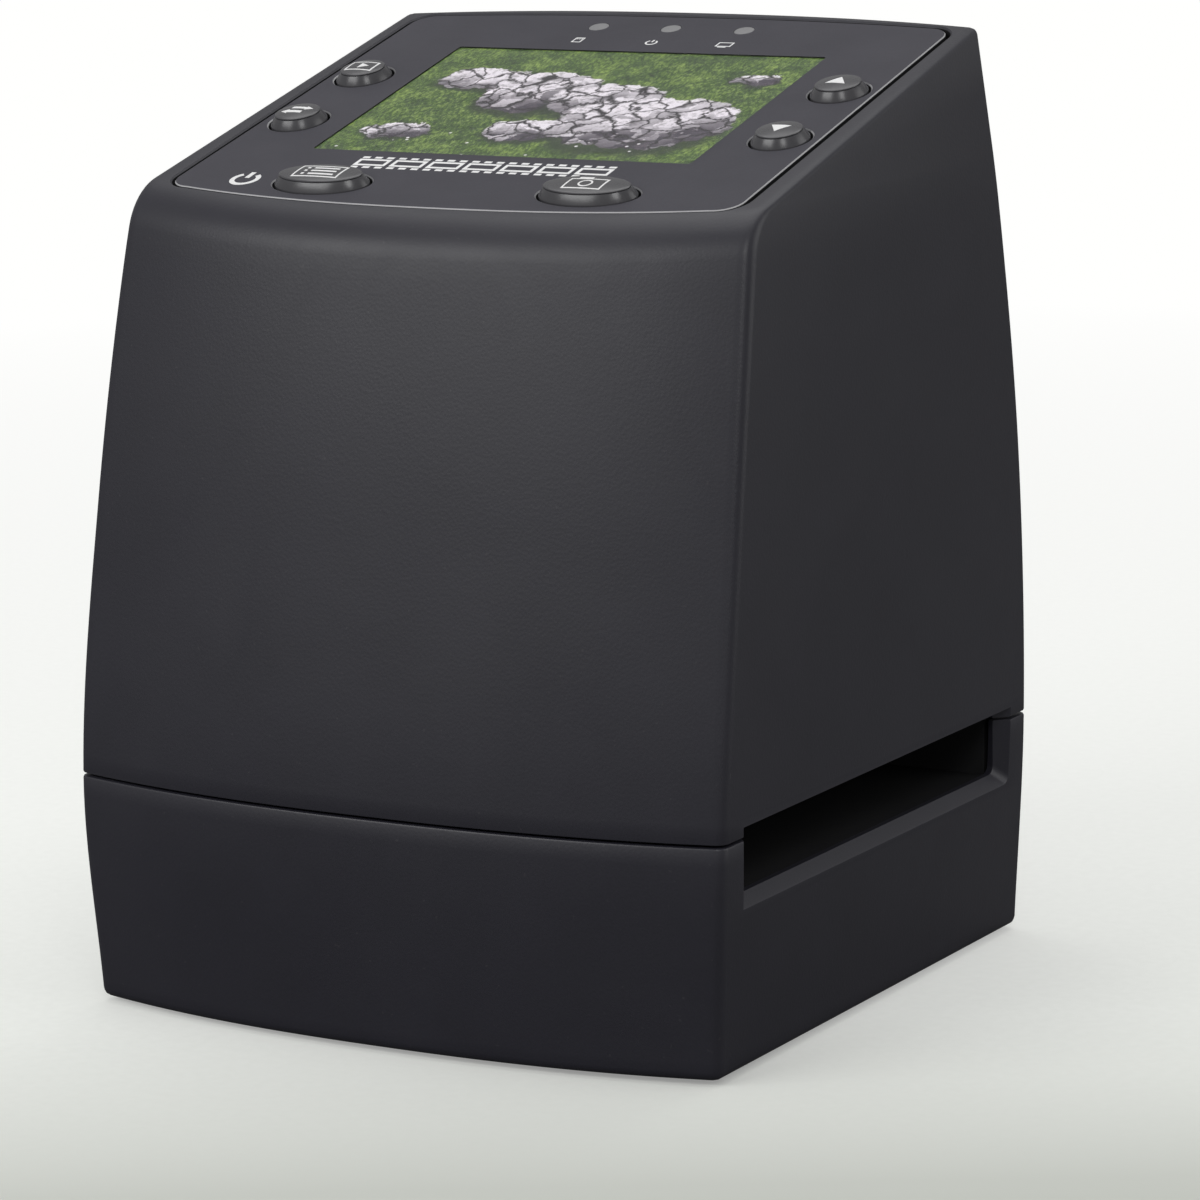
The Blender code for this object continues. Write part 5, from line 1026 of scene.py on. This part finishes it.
BOULDERS = [(-16.0, -25.5, 6.0, 3.4), (-6.2, -29.0, 7.2, 6.6), (4.2, -31.0, 7.6, 5.4),
            (12.6, -37.5, 11.6, 8.2), (-1.5, -41.5, 5.2, 3.6), (-18.0, -42.8, 4.8, 2.6),
            (20.0, -22.6, 3.4, 2.0)]
BOULDER_POWER = 2.3
for x, y, wide, tall in BOULDERS:
    local = put(tree, "Mapping", {"vector_type": "TEXTURE"}, Vector=wobble,
                Location=(x + WOBBLE / 2, y + WOBBLE / 2, 0), Scale=(wide, tall, 1)).outputs[0]
    parts = put(tree, "SeparateXYZ", None, Vector=local).outputs
    across = maths(tree, "POWER", maths(tree, "ABSOLUTE", parts[0]), BOULDER_POWER)
    along = maths(tree, "POWER", maths(tree, "ABSOLUTE", parts[1]), BOULDER_POWER)
    inside = spread(tree, maths(tree, "ADD", across, along), 1.03, 0.97)
    light = maths(tree, "ADD", parts[1], maths(tree, "MULTIPLY", spread(tree, facet, 0, 1, -1, 1), 0.55))
    light = maths(tree, "SUBTRACT", light, maths(tree, "MULTIPLY", parts[0], 0.35))
    stone = blend(tree, spread(tree, light, -0.85, 0.50), (0.045, 0.034, 0.052), (0.82, 0.76, 0.82))
    stone = blend(tree, spread(tree, lichen, 0.50, 0.62, 0, 0.55), stone, (0.125, 0.105, 0.120))
    stone = blend(tree, spread(tree, cracks, 0.09, 0.02), stone, (0.014, 0.009, 0.014))
    lowered = maths(tree, "ABSOLUTE", maths(tree, "ADD", parts[1], 0.30))
    under = maths(tree, "POWER", lowered, BOULDER_POWER)
    shadow = spread(tree, maths(tree, "ADD", across, under), 1.20, 0.80, 0, 0.85)
    picture = blend(tree, shadow, picture, (0.010, 0.020, 0.006))
    picture = blend(tree, inside, picture, stone)
blossom = put(tree, "TexVoronoi", {"feature": "F1"}, Vector=where, Scale=0.62, Randomness=1.0)
chance = put(tree, "SeparateColor", None, Color=blossom.outputs["Color"]).outputs[0]
petals = maths(tree, "MULTIPLY", spread(tree, blossom.outputs["Distance"], 0.16, 0.11),
               spread(tree, chance, 0.50, 0.52))
near = spread(tree, spot[1], -38.0, -44.0)
picture = blend(tree, maths(tree, "MULTIPLY", petals, near), picture, (0.75, 0.72, 0.74))
tree.links.new(picture, shader.inputs["Emission Color"])
shader.inputs["Emission Strength"].default_value = 1.0
looks["display"] = made
print("picture: boulders", len(BOULDERS))

# %% [markdown]
# ## Every piece gets its finish
# New pieces stand for the imported ones and move with the same body. The imported pieces
# that still show keep their shape and take the new finish of their own kind. The
# chamfers round the plate and its holes are coloured pale as a painted highlight, and the
# walls of the casing's recess and of the plate's holes are coloured near black as painted shade.

# %% Every piece gets its finish
def dress(piece, body, look, stands_for=None):
    piece.data.materials.clear()
    piece.data.materials.append(looks[look])
    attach(piece, body)
    if stands_for:
        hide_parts(stands_for)


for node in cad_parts.values():
    kind = node.data.materials[0].name.split(".")[0]
    node.data.materials[0] = looks[kind]
for piece, look, node in ((upper_shell, "casing", "upper_housing"), (base_shell, "casing", "base_housing"),
                          (control_plate, "panel", "control_panel"), (screen_face, "display", "lcd_module"),
                          (screen_pane, "clear_pane", "display_window")):
    smooth(piece)
    dress(piece, "casing", look, node)


def finish_faces(piece, look, wanted):
    """Gives the faces that pass a test of place and normal, both on the panel, another finish."""
    piece.data.materials.append(looks[look])
    turned = PANEL_PLACE.to_3x3().inverted()
    flat_place = PANEL_PLACE.inverted()
    count = 0
    for face in piece.data.polygons:
        if wanted(flat_place @ face.center, turned @ face.normal):
            face.material_index = len(piece.data.materials) - 1
            count += 1
    return count


def on_plate_edge(place):
    front_edge = -PLATE_FRONT + FRONT_BOW * abs(place.x / HALF_WIDTH) ** BOW_POWER
    return abs(place.x) > PLATE_BACK_HALF - 0.0020 or place.y < front_edge + 0.0005 or place.y > -0.0046


def slopes(normal):
    return 0.45 < normal.z < 0.92


def in_recess(place, normal):
    inward = normal.x * place.x + normal.y * (place.y + PLATE_FRONT / 2) < 0
    return -RECESS_DEPTH - 0.0001 < place.z < -RIM_LINE and abs(normal.z) < 0.2 and inward


# Painted highlight: the sloped chamfer faces round the plate and round its holes take the pale finishes.
print("plate edge faces:", finish_faces(control_plate, "plate_edge_painted_highlight", lambda place, normal: (
    place.z > -0.0003 and slopes(normal) and on_plate_edge(place))))
print("hole edge faces:", finish_faces(control_plate, "hole_edge_painted_highlight", lambda place, normal: (
    place.z > -0.0003 and slopes(normal) and not on_plate_edge(place))))
# Painted shade: the upright walls of the plate's holes and edge, and of the casing's recess, take the
# near-black finish.
print("dark faces:", finish_faces(control_plate, "inner", lambda place, normal: (
    place.z < -0.0001 and abs(normal.z) < 0.2)), finish_faces(upper_shell, "inner", in_recess))
for key, cap in keys.items():
    smooth(cap)
    dress(cap, key + "_key", "key", key + "_button")
    dress(signs[key], key + "_key", "ink")
for name in plate_signs:
    dress(signs[name], "casing", "ink")
for lamp_name, window in lamp_windows.items():
    smooth(window)
    dress(window, "casing", "lamp_window", "light_pipe_" + lamp_name)

# %% [markdown]
# ## Stage, camera and light
# The camera stands a little above the object, front and right of it, and far enough
# away for its lines to stay almost parallel. A high lamp lights the top, a large one
# the front and a weaker one the side. A small one near the camera gives the keys'
# flanks their shine, and the white paper fades out behind.

# %% Stage, camera and light
CAMERA_TURN = radians(29.830)
CAMERA_RISE = radians(10.948)
CAMERA_ROLL = radians(-1.060)
CAMERA_AWAY = 0.5992
CAMERA_AIM = Vector((0.006109, 0, 0.045567))
CAMERA_LENS = 151.62

level = cos(CAMERA_RISE)
back_ray = Vector((sin(CAMERA_TURN) * level, -cos(CAMERA_TURN) * level, sin(CAMERA_RISE)))
right_ray = Vector((cos(CAMERA_TURN), sin(CAMERA_TURN), 0))
up_ray = back_ray.cross(right_ray)
rolled_right = right_ray * cos(CAMERA_ROLL) + up_ray * sin(CAMERA_ROLL)
rolled_up = up_ray * cos(CAMERA_ROLL) - right_ray * sin(CAMERA_ROLL)
camera_data = bpy.data.cameras.new("camera")
camera_data.lens = CAMERA_LENS
camera = bpy.data.objects.new("camera", camera_data)
camera.matrix_world = Matrix.Translation(CAMERA_AIM + back_ray * CAMERA_AWAY) @ Matrix((
    rolled_right, rolled_up, back_ray)).transposed().to_4x4()
bpy.context.scene.collection.objects.link(camera)
bpy.context.scene.camera = camera
bpy.context.scene.view_settings.view_transform = "Standard"


def lamp(name, place, aim, width, height, power):
    """A soft lamp that faces a point."""
    light = bpy.data.lights.new(name, "AREA")
    light.shape = "RECTANGLE"
    light.size = width
    light.size_y = height
    light.energy = power
    piece = bpy.data.objects.new(name, light)
    piece.location = place
    piece.rotation_euler = (Vector(aim) - Vector(place)).to_track_quat("-Z", "Y").to_euler()
    bpy.context.scene.collection.objects.link(piece)
    return piece


lamp("top_lamp", (-0.05, 0.15, 0.80), (0, 0, 0.06), 0.80, 0.80, 2.8)
lamp("front_lamp", (-0.37, -0.68, 0.50), (0, 0, 0.08), 0.60, 0.32, 3.0)
lamp("near_lamp", (0.41, -0.57, 0.49), (0, 0, 0.08), 0.22, 0.22, 1.0)
lamp("right_lamp", (0.82, 0.38, 0.34), (0, 0, 0.05), 0.60, 0.60, 1.5)

def mix_shaders(tree, share, first, second):
    mixed = tree.nodes.new("ShaderNodeMixShader")
    for socket, value in zip(mixed.inputs, (share, first, second)):
        tree.links.new(value, socket)
    return mixed.outputs[0]


world = bpy.data.worlds.new("studio")
bpy.context.scene.world = world
world.use_nodes = True
tree = world.node_tree
tree.nodes.clear()
room = put(tree, "Background", None, Strength=0.42)
paper = put(tree, "Background", None, Color=(1, 1, 1, 1))
seen = put(tree, "LightPath").outputs["Is Camera Ray"]
put(tree, "OutputWorld", None, Surface=mix_shaders(tree, seen, room.outputs[0], paper.outputs[0]))

bpy.ops.object.select_all(action="DESELECT")
bpy.ops.mesh.primitive_plane_add(size=12)
floor = named("floor")
made, tree, shader = material("floor paper", Roughness=0.9, Specular_IOR_Level=0.1)
where = place_of(tree)
seen = put(tree, "LightPath").outputs["Is Camera Ray"]
fibre = put(tree, "TexNoise", None, Vector=where, Scale=700, Detail=3).outputs[0]
view_way = (-sin(CAMERA_TURN), cos(CAMERA_TURN), 0)
behind = reckon(tree, "VectorMath", "DOT_PRODUCT", where, view_way)["Value"]
paper_tone = blend(tree, spread(tree, fibre, 0.3, 0.7), (0.84, 0.87, 0.81), (0.88, 0.91, 0.85))
away = reckon(tree, "VectorMath", "LENGTH", where)["Value"]
# Painted shade: the floor's colour darkens on the camera's side of the object, more so towards the camera,
# within about 0.2 m of its middle.
painted_floor_shade = maths(tree, "MULTIPLY", spread(tree, behind, -0.025, -0.088), spread(tree, away, 0.20, 0.12))
paper_tone = blend(tree, painted_floor_shade, paper_tone, (0.54, 0.56, 0.51))
tree.links.new(blend(tree, seen, (0.15, 0.15, 0.15), paper_tone), shader.inputs["Base Color"])
far = maths(tree, "MAXIMUM", spread(tree, behind, -0.10, 0.60), spread(tree, away, 0.13, 0.60))
glow = put(tree, "Emission", None, Color=(1, 1, 0.99, 1), Strength=1.0)
faded = mix_shaders(tree, maths(tree, "MULTIPLY", maths(tree, "POWER", far, 0.5), seen),
                    shader.outputs[0], glow.outputs[0])
tree.links.new(faded, tree.nodes["Material Output"].inputs["Surface"])
floor.data.materials.append(made)
